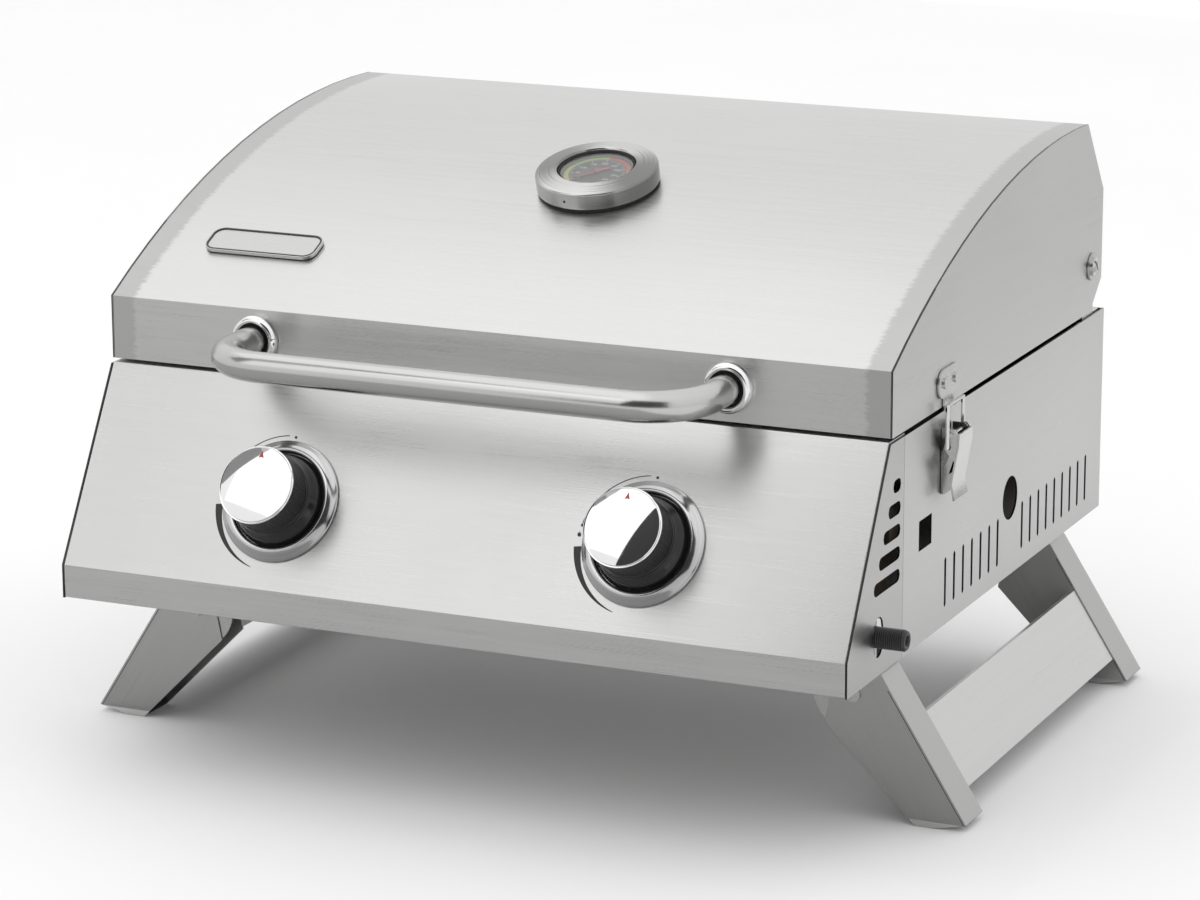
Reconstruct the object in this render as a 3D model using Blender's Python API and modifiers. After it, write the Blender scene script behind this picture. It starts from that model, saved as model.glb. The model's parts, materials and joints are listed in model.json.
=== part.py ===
"""Portable two-burner tabletop gas grill, as separate named pieces.

The model is laid out from the lower front edge of the closed lid: X to the right,
Y to the back, Z up. The empty grill_origin then carries every piece to its place,
with the feet on Z = 0 and the middle of the depth on Y = 0. Units are metres.
"""
import math

import bmesh
import bpy
from mathutils import Matrix, Vector

# ---------------------------------------------------------------- driving sizes
SEAM_HEIGHT = 0.2464        # lower edge of the lid above the table
DEPTH_CENTRE = 0.1606       # middle of the whole depth, from the lid's front face
BODY_HALF = 0.2600          # half of the body's and the lid's width
SHEET = 0.0012              # steel sheet
GAP = 0.0003                # clearance between pieces that touch

# Lid, in side view (Y, Z)
BAND_TOP = (0.0, 0.0399)
ARC_MIDDLE = (0.1500, 0.1028)
RIDGE = (0.3544, 0.1265)
LID_SLOPE_END = (0.3896, 0.0783)
LID_BACK_LOW = (0.3896, 0.0194)
LID_BACK_END = (0.3728, 0.0047)
LID_HEEL = (0.3675, 0.0)
LID_HEM = 0.0080
LID_ARC_STEPS = 14
HINGE = (0.3674, 0.0306)

# Body, in side view
RIM = -0.0030
BODY_SPLIT = 0.0207         # seam between the control box and the firebox sides
BODY_BACK = 0.3971
BODY_FLOOR = -0.1380
PANEL_TOP = (-0.0017, -0.0020)
PANEL_KNEE = (-0.0690, -0.1168)
PANEL_FOOT = -0.1375
PANEL_LIP_BACK = 0.0240

# Firebox tub
TUB_HALF = 0.2430
TUB_FRONT = 0.0420
TUB_BACK = 0.3780
TUB_FLOOR = -0.1190
TUB_RIM = -0.0148
TUB_RIM_HALF = 0.2565
GREASE_HOLE_RADIUS = 0.0250

# Side vents
VENT_LOW, VENT_HIGH, VENT_WIDTH = -0.1267, -0.0954, 0.0035
VENT_PITCH = 0.0160
FRONT_VENTS = (0.0945, 7)
REAR_VENTS = (0.2373, 9)
LIGHTING_HOLE = (0.2132, -0.0875)
LIGHTING_HOLE_RADIUS = 0.0140
TUB_LIGHTING_RADIUS = 0.0125
SQUARE_HOLE = (0.0470, 0.0690, -0.0800, -0.0614)
CHEEK_SLOT_BACK = 0.0150
CHEEK_SLOT_HEIGHT = 0.0080
CHEEK_SLOTS = ((0.0025, -0.0300), (-0.0050, -0.0438), (-0.0128, -0.0575),
               (-0.0197, -0.0712), (-0.0276, -0.0850))

# Gas train and knobs
KNOB_X = 0.1205
KNOB_FOOT = (-0.0408, -0.0685)
SHAFT_RADIUS = 0.0040
SHAFT_CLEARANCE = 0.0005
VALVE_DEPTH = (0.0120, 0.0380)
VALVE_RADIUS = 0.0130
BURNER_HEIGHT = -0.0850
BURNER_RADIUS = 0.0105
BURNER_SPAN = (0.0160, 0.3680)
ELECTRODE_X, ELECTRODE_HEIGHT = 0.1005, -0.0780
ELECTRODE_RADIUS = 0.0026
MANIFOLD_HEIGHT = -0.1145
MANIFOLD_RADIUS = 0.0080
INLET_RADIUS = 0.00658      # G1/4 male thread
INLET_TIP = 0.2780

# Handle
HANDLE_HALF = 0.1575
HANDLE_REACH = 0.0660
HANDLE_HEIGHT = 0.0210
HANDLE_RADIUS = 0.0095
HANDLE_WALL = 0.0015
HANDLE_BEND = 0.0380

# Thermometer and badge on the lid's curve
GAUGE_X, GAUGE_Y = 0.0060, 0.1510
GAUGE_RADIUS = 0.0390
NEEDLE_START_DEG = 225.0
BADGE_X, BADGE_Y = -0.1797, 0.0540
BADGE_SIZE = (0.0780, 0.0240, 0.0030)

# Toggle latches (right side; the left one mirrors it)
LATCH_Y = 0.0930
LATCH_PIN = (0.2668, -0.0160)
BAIL_FOOT = (0.2653, -0.0235)
BAIL_HEAD = (0.2652, 0.0024)
BAIL_HALF = 0.0136
BAIL_WIRE = 0.0013

# Folding legs (right side, (X, Z); the left one mirrors it)
LEG_PIVOT = (0.2245, -0.1685)
LEG_SHOULDER = (0.2429, -0.1553)
LEG_STRIP_TOP = (0.2536, -0.1722)
LEG_FOOT_OUTER = (0.2978, -0.2421)
LEG_FOOT_LAND = (0.2790, -0.2464)
LEG_FOOT_INNER = (0.2650, -0.2464)
LEG_KINK = (0.2064, -0.1880)
LEG_THROAT = (0.2095, -0.1728)
LEG_DEPTH = 0.0297
FRONT_LEG_Y = 0.0338
REAR_LEG_Y = 0.3498
LEG_PIN_RADIUS = 0.0030
EAR_THICKNESS = 0.0015
EAR_RADIUS = 0.0258
EAR_SMALL_RADIUS = 0.0195   # where the leg's outer flange sweeps past the ear

# Drip tray
TRAY_HALF = 0.1400
TRAY_FRONT = 0.0600
TRAY_TOP, TRAY_BOTTOM = -0.1215, -0.1355

ROUND = 24                  # facets around a turned piece

# Finish: colour, roughness, metallic
BRUSHED = ((0.62, 0.62, 0.61), 0.34, 1.0)
DARK_STEEL = ((0.30, 0.30, 0.30), 0.45, 1.0)
CHROME = ((0.86, 0.86, 0.86), 0.08, 1.0)
ZINC = ((0.50, 0.50, 0.49), 0.40, 1.0)
BRASS = ((0.72, 0.56, 0.28), 0.35, 1.0)
CERAMIC = ((0.85, 0.84, 0.80), 0.35, 0.0)
ENAMEL = ((0.03, 0.03, 0.03), 0.45, 0.0)
BLACK_PLASTIC = ((0.02, 0.02, 0.02), 0.40, 0.0)
RUBBER = ((0.015, 0.015, 0.015), 0.70, 0.0)
DIAL_FACE = ((0.06, 0.06, 0.06), 0.50, 0.0)
NEEDLE_RED = ((0.60, 0.05, 0.04), 0.40, 0.0)
GLASS = ((0.90, 0.92, 0.92), 0.05, 0.0)

# Axes of a flat outline's own (u, v, thickness) directions
ALONG_X = Matrix(((0, 0, 1), (1, 0, 0), (0, 1, 0)))     # outline in (Y, Z)
ALONG_Y = Matrix(((1, 0, 0), (0, 0, -1), (0, 1, 0)))    # outline in (X, Z)
ALONG_Z = Matrix.Identity(3)                            # outline in (X, Y)


# ---------------------------------------------------------------- scene helpers
def clear_scene():
    for old in list(bpy.data.objects):
        bpy.data.objects.remove(old, do_unlink=True)


def new_collection(name):
    group = bpy.data.collections.new(name)
    bpy.context.scene.collection.children.link(group)
    return group


def finish(obj, look):
    colour, roughness, metallic = look
    material = bpy.data.materials.new(obj.name + "_finish")
    material.use_nodes = True
    shader = material.node_tree.nodes["Principled BSDF"]
    shader.inputs["Base Color"].default_value = (*colour, 1.0)
    shader.inputs["Roughness"].default_value = roughness
    shader.inputs["Metallic"].default_value = metallic
    obj.data.materials.clear()
    obj.data.materials.append(material)


def add_object(name, mesh, place, look=None):
    obj = bpy.data.objects.new(name, mesh)
    PIECES.objects.link(obj)
    obj.parent = ORIGIN
    obj.matrix_local = place
    if look:
        finish(obj, look)
    mesh.set_sharp_from_angle(angle=math.radians(35))
    return obj


def joint_empty(name, position):
    """An empty on a joint's axis, that the moving pieces hang from."""
    empty = bpy.data.objects.new(name, None)
    PIECES.objects.link(empty)
    empty.parent = ORIGIN
    empty.location = position
    return empty


def hang(empty, *pieces):
    for piece in pieces:
        piece.parent = empty
        piece.matrix_parent_inverse = Matrix.Translation(-Vector(empty.location))


def tool(obj):
    """Turn a piece into the hidden second operand of a Boolean."""
    PIECES.objects.unlink(obj)
    TOOLS.objects.link(obj)
    obj.hide_render = True
    obj.display_type = "WIRE"
    return obj


def boolean(obj, other, operation):
    step = obj.modifiers.new(operation.lower(), "BOOLEAN")
    step.operation = operation
    step.solver = "EXACT"
    step.object = tool(other)
    return obj


def cut(obj, *cutters):
    for cutter in cutters:
        boolean(obj, cutter, "DIFFERENCE")
    return obj


def weld(obj, *others):
    for other in others:
        boolean(obj, other, "UNION")
    return obj


# ---------------------------------------------------------------- shape helpers
def oriented(basis, position):
    return Matrix.Translation(position) @ basis.to_4x4()


def facing(direction, position):
    """Placement whose own +Z looks along a direction."""
    turn = Vector(direction).to_track_quat("Z", "Y").to_matrix()
    return oriented(turn, position)


def circle(centre, radius, steps=16):
    angles = (2 * math.pi * i / steps for i in range(steps))
    return [(centre[0] + radius * math.cos(a), centre[1] + radius * math.sin(a)) for a in angles]


def arc(centre, radius, start_deg, end_deg, steps):
    angles = (math.radians(start_deg + (end_deg - start_deg) * i / steps) for i in range(steps + 1))
    return [(centre[0] + radius * math.cos(a), centre[1] + radius * math.sin(a)) for a in angles]


def rectangle(u0, u1, v0, v1):
    return [(u0, v0), (u1, v0), (u1, v1), (u0, v1)]


def rounded(u0, u1, v0, v1, radius, steps=4):
    """Rounded rectangle: one quarter arc at each corner."""
    corners = ((u1 - radius, v1 - radius, 0), (u0 + radius, v1 - radius, 90),
               (u0 + radius, v0 + radius, 180), (u1 - radius, v0 + radius, 270))
    return [p for u, v, start in corners for p in arc((u, v), radius, start, start + 90, steps)]


def slot_hole(u0, u1, v0, v1, steps):
    """Slot with rounded ends."""
    return rounded(u0, u1, v0, v1, 0.45 * min(u1 - u0, v1 - v0), steps)


def circle_through(a, b, c):
    """Centre and radius of the circle through three points."""
    ab, ac = Vector(b) - Vector(a), Vector(c) - Vector(a)
    twice = 2 * (ab.x * ac.y - ab.y * ac.x)
    dx = (ac.y * ab.length_squared - ab.y * ac.length_squared) / twice
    dy = (ab.x * ac.length_squared - ac.x * ab.length_squared) / twice
    return (a[0] + dx, a[1] + dy), math.hypot(dx, dy)


def offset_path(path, distance):
    """The path moved to its left by a distance, with mitred corners."""
    points = [Vector(p) for p in path]
    normals = []
    for a, b in zip(points, points[1:]):
        along = (b - a).normalized()
        normals.append(Vector((-along.y, along.x)))
    moved = [points[0] + normals[0] * distance]
    for point, before, after in zip(points[1:-1], normals, normals[1:]):
        mitre = (before + after).normalized()
        moved.append(point + mitre * (distance / mitre.dot(before)))
    moved.append(points[-1] + normals[-1] * distance)
    return [tuple(p) for p in moved]


def sheet_outline(path, thickness):
    """Closed section of a bent sheet; a positive thickness lies left of the path."""
    return list(path) + offset_path(path, thickness)[::-1]


def plate(name, outline, low, high, basis, look=None, holes=()):
    """A flat outline with holes, made solid from low to high along its thickness."""
    curve = bpy.data.curves.new(name, "CURVE")
    curve.dimensions = "2D"
    curve.fill_mode = "BOTH"
    curve.extrude = (high - low) / 2
    for loop in (outline, *holes):
        spline = curve.splines.new("POLY")
        spline.points.add(len(loop) - 1)
        for point, (u, v) in zip(spline.points, loop):
            point.co = (u, v, 0, 1)
        spline.use_cyclic_u = True
    mesh = mesh_of_curve(name, curve)
    middle = basis @ Vector((0, 0, (low + high) / 2))
    if basis == ALONG_Y:
        middle = -middle
    return add_object(name, mesh, oriented(basis, middle), look)


def mesh_of_curve(name, curve):
    source = bpy.data.objects.new(name + "_curve", curve)
    bpy.context.scene.collection.objects.link(source)
    bpy.context.view_layer.update()
    evaluated = source.evaluated_get(bpy.context.evaluated_depsgraph_get())
    mesh = bpy.data.meshes.new_from_object(evaluated)
    bpy.data.objects.remove(source)
    mesh.name = name
    form = bmesh.new()
    form.from_mesh(mesh)
    bmesh.ops.remove_doubles(form, verts=form.verts, dist=0.000002)
    bmesh.ops.recalc_face_normals(form, faces=form.faces)
    form.to_mesh(mesh)
    form.free()
    return mesh


def box(name, low, high, look=None):
    """A box between two corners, with its origin at its middle."""
    low, high = Vector(low), Vector(high)
    form = bmesh.new()
    bmesh.ops.create_cube(form, size=1.0)
    bmesh.ops.scale(form, vec=high - low, verts=form.verts)
    mesh = bpy.data.meshes.new(name)
    form.to_mesh(mesh)
    form.free()
    return add_object(name, mesh, Matrix.Translation((low + high) / 2), look)


def thicken(obj, wall):
    """Give an open surface a wall that lies on its inner side."""
    shell = obj.modifiers.new("wall", "SOLIDIFY")
    shell.thickness = wall
    shell.offset = -1.0
    shell.use_even_offset = True
    return obj


def tub(name, low, high, wall, look=None):
    """A box without its top, its wall lying inside the two corners."""
    obj = box(name, low, high, look)
    form = bmesh.new()
    form.from_mesh(obj.data)
    top = [face for face in form.faces if face.normal.z > 0.5]
    bmesh.ops.delete(form, geom=top, context="FACES_ONLY")
    form.to_mesh(obj.data)
    form.free()
    return thicken(obj, wall)


def rod(name, radius, start, end, look=None, sides=ROUND):
    start, end = Vector(start), Vector(end)
    form = bmesh.new()
    bmesh.ops.create_cone(form, cap_ends=True, cap_tris=False, segments=sides,
                          radius1=radius, radius2=radius, depth=(end - start).length)
    mesh = bpy.data.meshes.new(name)
    form.to_mesh(mesh)
    form.free()
    return add_object(name, mesh, facing(end - start, (start + end) / 2), look)


def turned(name, profile, place, look=None, steps=ROUND, closed=False):
    """A turned piece: (radius, height) pairs that run down the outer side."""
    count = len(profile)
    edges = [(i, i + 1) for i in range(count - 1)]
    if closed:
        edges.append((count - 1, 0))
    mesh = bpy.data.meshes.new(name)
    mesh.from_pydata([(r, 0, h) for r, h in profile], edges, [])
    obj = add_object(name, mesh, place, look)
    lathe = obj.modifiers.new("lathe", "SCREW")
    lathe.steps = steps
    lathe.render_steps = steps
    lathe.use_merge_vertices = True
    lathe.merge_threshold = 0.00001
    return obj


def wire(name, path, radius, look=None, resolution=2, capped=True):
    curve = bpy.data.curves.new(name, "CURVE")
    curve.dimensions = "3D"
    curve.bevel_depth = radius
    curve.bevel_resolution = resolution
    curve.use_fill_caps = capped
    spline = curve.splines.new("POLY")
    spline.points.add(len(path) - 1)
    for point, position in zip(spline.points, path):
        point.co = (*position, 1)
    return add_object(name, mesh_of_curve(name, curve), Matrix.Identity(4), look)


def mirrored(points, side):
    return [(side * u, v) for u, v in points]


def span(side, inner, outer):
    """Low and high X of a plate that lies between two distances from the middle."""
    return tuple(sorted((side * inner, side * outer)))


# ---------------------------------------------------------------- places on the grill
LID_CENTRE, LID_RADIUS = circle_through(BAND_TOP, ARC_MIDDLE, RIDGE)
PANEL_RUN = (Vector(PANEL_TOP) - Vector(PANEL_KNEE)).normalized()
KNOB_AXIS = Vector((0, -PANEL_RUN.y, PANEL_RUN.x))
SIDES = (("left", -1), ("right", 1))


def lid_arc(end_y, lift=0.0):
    """Points along the top of the lid, from the band to a depth, lifted off the skin."""
    radius = LID_RADIUS + lift
    start = math.atan2(BAND_TOP[1] - LID_CENTRE[1], BAND_TOP[0] - LID_CENTRE[0])
    end = math.acos((end_y - LID_CENTRE[0]) / LID_RADIUS)
    return arc(LID_CENTRE, radius, math.degrees(start), math.degrees(end), LID_ARC_STEPS)


def lid_seat(x, y):
    """Placement on the lid's top: own +Z leaves the skin, own +Y runs up the curve."""
    out = Vector((0, y - LID_CENTRE[0], math.sqrt(LID_RADIUS ** 2 - (y - LID_CENTRE[0]) ** 2)))
    out.normalize()
    uphill = out.cross(Vector((1, 0, 0)))
    basis = Matrix((Vector((1, 0, 0)), uphill, out)).transposed()
    height = LID_CENTRE[1] + math.sqrt(LID_RADIUS ** 2 - (y - LID_CENTRE[0]) ** 2)
    return oriented(basis, Vector((x, y, height)))


def on_knob_axis(side, height):
    foot = Vector((side * KNOB_X, *KNOB_FOOT))
    return foot + KNOB_AXIS * height


# ---------------------------------------------------------------- body
def side_panel(name, side):
    low, high = span(side, BODY_HALF - SHEET, BODY_HALF)
    holes = [rectangle(*SQUARE_HOLE), circle(LIGHTING_HOLE, LIGHTING_HOLE_RADIUS, 24)]
    half = VENT_WIDTH / 2
    for first, count in (FRONT_VENTS, REAR_VENTS):
        for i in range(count):
            y = first + i * VENT_PITCH
            holes.append(slot_hole(y - half, y + half, VENT_LOW, VENT_HIGH, 1))
    outline = rectangle(BODY_SPLIT, BODY_BACK, BODY_FLOOR, RIM)
    return plate(f"side_panel_{name}", outline, low, high, ALONG_X, BRUSHED, holes)


def cheek(name, side):
    """Side of the control box, with its horizontal slots and, on the right, the gas port."""
    low, high = span(side, BODY_HALF - SHEET, BODY_HALF)
    back = BODY_SPLIT - GAP
    lean = (PANEL_TOP[0] - PANEL_KNEE[0]) / (PANEL_TOP[1] - PANEL_KNEE[1])
    outline = [(back, BODY_FLOOR), (back, RIM), (PANEL_TOP[0] + lean * (RIM - PANEL_TOP[1]), RIM),
               PANEL_KNEE, (PANEL_KNEE[0], BODY_FLOOR)]
    half = CHEEK_SLOT_HEIGHT / 2
    holes = [slot_hole(front, CHEEK_SLOT_BACK, z - half, z + half, 2) for front, z in CHEEK_SLOTS]
    if side > 0:
        port = (on_knob_axis(side, -0.025).y, MANIFOLD_HEIGHT)
        holes.append(rounded(port[0] - 0.0078, port[0] + 0.0078, port[1] - 0.0124, port[1] + 0.0124,
                             0.0076, 3))
    return plate(f"cheek_{name}", outline, low, high, ALONG_X, BRUSHED, holes)


def control_panel():
    path = [(PANEL_LIP_BACK, -0.0130), (PANEL_LIP_BACK, PANEL_TOP[1]), PANEL_TOP, PANEL_KNEE,
            (PANEL_KNEE[0], PANEL_FOOT), (PANEL_KNEE[0] + 0.0170, PANEL_FOOT)]
    half = BODY_HALF - SHEET - GAP
    obj = plate("control_panel", sheet_outline(path, SHEET), -half, half, ALONG_X, BRUSHED)
    for _, side in SIDES:
        cut(obj, rod("panel_hole", 0.0085, on_knob_axis(side, -0.006), on_knob_axis(side, 0.006)))
    return obj


def back_panel():
    half = BODY_HALF - SHEET - GAP
    mouth = TRAY_HALF + 0.0030
    top = TRAY_TOP + 0.0010
    outline = [(-half, BODY_FLOOR), (-mouth, BODY_FLOOR), (-mouth, top), (mouth, top),
               (mouth, BODY_FLOOR), (half, BODY_FLOOR), (half, RIM), (-half, RIM)]
    vents = [slot_hole(x - 0.020, x + 0.020, z - 0.002, z + 0.002, 2)
             for x in (-0.180, -0.090, 0.0, 0.090, 0.180) for z in (-0.034, -0.048)]
    obj = plate("back_panel", outline, BODY_BACK - SHEET, BODY_BACK, ALONG_Y, BRUSHED, vents)
    shelf = box("back_shelf", (-TUB_RIM_HALF, LID_BACK_END[0] + 0.0010, RIM - SHEET),
                (TUB_RIM_HALF, BODY_BACK - 0.0004, RIM - 0.0001))
    return weld(obj, shelf)


def fire_box():
    """Tub with a flange around its rim and holes for grease, burners, igniters and a match."""
    obj = tub("fire_box", (-TUB_HALF, TUB_FRONT, TUB_FLOOR), (TUB_HALF, TUB_BACK, TUB_RIM - 0.0004),
              SHEET, DARK_STEEL)
    inside = SHEET / 2
    hole = rectangle(inside - TUB_HALF, TUB_HALF - inside, TUB_FRONT + inside, TUB_BACK - inside)
    rim = rectangle(-TUB_RIM_HALF, TUB_RIM_HALF, BODY_SPLIT + GAP, BODY_BACK - SHEET - GAP)
    weld(obj, plate("tub_flange", rim, TUB_RIM - SHEET, TUB_RIM, ALONG_Z, holes=[hole]))
    middle = (TUB_FRONT + TUB_BACK) / 2
    cut(obj, rod("grease_cutter", GREASE_HOLE_RADIUS, (0, middle, TUB_FLOOR - 0.004),
                 (0, middle, TUB_FLOOR + 0.004)))
    before, behind = TUB_FRONT - 0.004, TUB_FRONT + 0.004
    for _, side in SIDES:
        x = side * KNOB_X
        cut(obj, rod("burner_cutter", BURNER_RADIUS + 0.001, (x, before, BURNER_HEIGHT),
                     (x, behind, BURNER_HEIGHT)))
        x = side * ELECTRODE_X
        cut(obj, rod("electrode_cutter", ELECTRODE_RADIUS + 0.0005, (x, before, ELECTRODE_HEIGHT),
                     (x, behind, ELECTRODE_HEIGHT), sides=12))
        cut(obj, rod("lighting_cutter", TUB_LIGHTING_RADIUS, (side * (TUB_HALF - 0.004), *LIGHTING_HOLE),
                     (side * (TUB_HALF + 0.004), *LIGHTING_HOLE), sides=20))
    return obj


def burner(name, side):
    """Straight tube, open at the gas jet and closed at the back."""
    length = BURNER_SPAN[1] - BURNER_SPAN[0]
    bore = BURNER_RADIUS - SHEET
    profile = [(0, SHEET), (bore, SHEET), (bore, length), (BURNER_RADIUS, length),
               (BURNER_RADIUS, 0), (0, 0)]
    place = facing((0, -1, 0), (side * KNOB_X, BURNER_SPAN[1], BURNER_HEIGHT))
    return turned(f"burner_{name}", profile, place, DARK_STEEL, steps=20)


def electrode(name, side):
    """Ceramic igniter with its spark pin beside the burner."""
    length, ceramic, pin = 0.0480, 0.0320, 0.0009
    profile = [(0, length), (pin, length), (pin, ceramic), (ELECTRODE_RADIUS, ceramic),
               (ELECTRODE_RADIUS, 0), (0, 0)]
    place = facing((0, 1, 0), (side * ELECTRODE_X, TUB_FRONT - 0.0120, ELECTRODE_HEIGHT))
    return turned(f"electrode_{name}", profile, place, CERAMIC, steps=12)


def flame_tamer():
    """One bent sheet with a ridge over each burner."""
    ridge, valley, reach = -0.0440, -0.0660, 0.0640
    outer, inner = KNOB_X + reach, KNOB_X - reach
    path = [(-outer, valley), (-KNOB_X, ridge), (-inner, valley), (inner, valley),
            (KNOB_X, ridge), (outer, valley)]
    return plate("flame_tamer", sheet_outline(path, -SHEET), TUB_FRONT + SHEET + GAP,
                 TUB_BACK - SHEET - GAP, ALONG_Y, DARK_STEEL)


def rod_row(name, radius, ends, sides):
    """Parallel rods that don't touch, as one operand."""
    form = bmesh.new()
    for start, end in ends:
        start, end = Vector(start), Vector(end)
        bmesh.ops.create_cone(form, cap_ends=True, segments=sides, radius1=radius, radius2=radius,
                              depth=(end - start).length,
                              matrix=facing(end - start, (start + end) / 2))
    mesh = bpy.data.meshes.new(name)
    form.to_mesh(mesh)
    form.free()
    return add_object(name, mesh, Matrix.Identity(4))


def cooking_grate():
    """Welded grate: bars from front to back on three cross rods."""
    bar_radius, rod_radius, bars, pitch = 0.0024, 0.0025, 25, 0.0195
    front, back = 0.0290, 0.3890
    rod_height = TUB_RIM + GAP + rod_radius
    bar_height = rod_height + bar_radius + 0.0012
    first = -(bars - 1) / 2 * pitch
    bar_ends = [((first + i * pitch, front, bar_height), (first + i * pitch, back, bar_height))
                for i in range(bars)]
    reach = -first + 0.006
    rod_ends = [((-reach, y, rod_height), (reach, y, rod_height))
                for y in (front + 0.005, (front + back) / 2, back - 0.005)]
    obj = rod_row("cooking_grate", bar_radius, bar_ends, 6)
    finish(obj, ENAMEL)
    return weld(obj, rod_row("grate_cross_rods", rod_radius, rod_ends, 6))


# ---------------------------------------------------------------- gas train
def valve(name, side):
    """Valve body on the knob's axis, its leg on the manifold and its jet to the burner."""
    top, bottom = VALVE_DEPTH
    bore = SHAFT_RADIUS + SHAFT_CLEARANCE
    depth = 0.0265
    profile = [(0, -depth), (bore, -depth), (bore, -top), (VALVE_RADIUS * 0.7, -top),
               (VALVE_RADIUS, -top - 0.003), (VALVE_RADIUS, -bottom), (0, -bottom)]
    obj = turned(f"valve_{name}", profile, facing(KNOB_AXIS, on_knob_axis(side, 0)), BRASS, steps=20)
    middle = on_knob_axis(side, -0.025)
    leg_end = MANIFOLD_HEIGHT + MANIFOLD_RADIUS + GAP
    leg_start = middle + Vector((0, 0, -0.0100))
    leg = rod("valve_leg", 0.0060, leg_start, (middle.x, middle.y, leg_end), sides=12)
    jet = rod("valve_jet", 0.0045, (middle.x, middle.y + 0.0110, BURNER_HEIGHT),
              (middle.x, 0.0120, BURNER_HEIGHT), sides=12)
    return weld(obj, leg, jet)


def gas_manifold():
    """Closed pipe on the left, open to the inlet on the right."""
    y = on_knob_axis(1, -0.025).y
    start, end = -0.1500, 0.2440
    length, bore = end - start, MANIFOLD_RADIUS - 0.0015
    profile = [(0, 0.002), (bore, 0.002), (bore, length), (MANIFOLD_RADIUS, length),
               (MANIFOLD_RADIUS, 0), (0, 0)]
    return turned("gas_manifold", profile, facing((1, 0, 0), (start, y, MANIFOLD_HEIGHT)), ZINC, 16)


def gas_inlet():
    """Threaded stub for the gas hose: hexagon inside the cheek, thread outside."""
    y = on_knob_axis(1, -0.025).y
    start = 0.2443
    length = INLET_TIP - start
    profile = [(0, 0.004), (0.0030, 0.004), (0.0030, length), (INLET_RADIUS - 0.0006, length),
               (INLET_RADIUS, length - 0.0010), (INLET_RADIUS, 0.0020), (0, 0.0020)]
    obj = turned("gas_inlet", profile, facing((1, 0, 0), (start, y, MANIFOLD_HEIGHT)),
                 BLACK_PLASTIC, 20)
    hexagon = rod("inlet_hexagon", 0.0100, (start, y, MANIFOLD_HEIGHT),
                  (start + 0.0080, y, MANIFOLD_HEIGHT), sides=6)
    return weld(obj, hexagon)


def knob_bezel(name, side):
    profile = [(0.0300, 0.0046), (0.0315, 0.0056), (0.0352, 0.0050), (0.0366, 0.0030),
               (0.0385, 0.0024), (0.0386, GAP), (0.0306, GAP)]
    place = facing(KNOB_AXIS, on_knob_axis(side, 0))
    return turned(f"knob_bezel_{name}", profile, place, CHROME, steps=32, closed=True)


def valve_collar(name, side):
    """Sleeve that the pushed knob carries down, without turning."""
    bore = SHAFT_RADIUS + SHAFT_CLEARANCE
    profile = [(bore, -0.0050), (0.0080, -0.0050), (0.0080, -0.0080), (bore, -0.0080)]
    place = facing(KNOB_AXIS, on_knob_axis(side, 0))
    return turned(f"valve_collar_{name}", profile, place, BRASS, steps=16, closed=True)


def knob_body(name, side):
    """Black grip, flared skirt and the shaft that enters the valve."""
    profile = [(0, 0.0340), (0.0236, 0.0340), (0.0241, 0.0334), (0.0241, 0.0165),
               (0.0252, 0.0130), (0.0280, 0.0085), (0.0284, 0.0040), (SHAFT_RADIUS, 0.0040),
               (SHAFT_RADIUS, -0.0220), (0, -0.0220)]
    place = facing(KNOB_AXIS, on_knob_axis(side, 0))
    return turned(f"knob_body_{name}", profile, place, BLACK_PLASTIC)


def knob_cap(name, side):
    profile = [(0, 0.0386), (0.0130, 0.0382), (0.0210, 0.0373), (0.0240, 0.0363),
               (0.0246, 0.0352), (0.0246, 0.0343), (0, 0.0343)]
    place = facing(KNOB_AXIS, on_knob_axis(side, 0))
    return turned(f"knob_cap_{name}", profile, place, CHROME)


# ---------------------------------------------------------------- lid
def lid_skin():
    """Front band and curved top, one bent sheet."""
    path = [(LID_HEM, 0), (0, 0), *lid_arc(RIDGE[0] - 0.0009)]
    half = BODY_HALF - SHEET - GAP
    obj = plate("lid_skin", sheet_outline(path, -SHEET), -half, half, ALONG_X, BRUSHED)
    seat = lid_seat(GAUGE_X, GAUGE_Y)
    stem = rod("stem_cutter", 0.0050, seat @ Vector((0, 0, -0.006)), seat @ Vector((0, 0, 0.006)))
    return cut(obj, stem)


def lid_rear():
    """Rear slope and back wall, notched at both ends for the hinge brackets."""
    slope = (Vector(LID_SLOPE_END) - Vector(RIDGE)).normalized()
    start = tuple(Vector(RIDGE) + slope * SHEET)
    path = [start, LID_SLOPE_END, LID_BACK_LOW, LID_BACK_END]
    half = BODY_HALF - SHEET - GAP
    obj = plate("lid_rear", sheet_outline(path, -SHEET), -half, half, ALONG_X, BRUSHED)
    for _, side in SIDES:
        low, high = span(side, TUB_RIM_HALF, BODY_HALF + 0.002)
        cut(obj, box("hinge_notch", (low, HINGE[0] - 0.020, -0.005), (high, 0.400, 0.046)))
    return obj


def lid_side(name, side):
    low, high = span(side, BODY_HALF - SHEET, BODY_HALF)
    outline = [(0, 0), *lid_arc(RIDGE[0]), LID_SLOPE_END, LID_BACK_LOW, LID_BACK_END, LID_HEEL]
    hole = circle(HINGE, 0.0033, 12)
    return plate(f"lid_side_{name}", outline, low, high, ALONG_X, BRUSHED, [hole])


def handle():
    """Round tube bent to a U, its ends against the lid's band."""
    bend_y = -(HANDLE_REACH - HANDLE_BEND)
    centre_x = HANDLE_HALF - HANDLE_BEND
    left = arc((-centre_x, bend_y), HANDLE_BEND, 180, 270, 8)
    right = arc((centre_x, bend_y), HANDLE_BEND, 270, 360, 8)
    path = [(-HANDLE_HALF, -GAP), *left, *right, (HANDLE_HALF, -GAP)]
    centreline = [(x, y, HANDLE_HEIGHT) for x, y in path]
    return thicken(wire("handle", centreline, HANDLE_RADIUS, BRUSHED, 4, capped=False), HANDLE_WALL)


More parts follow.
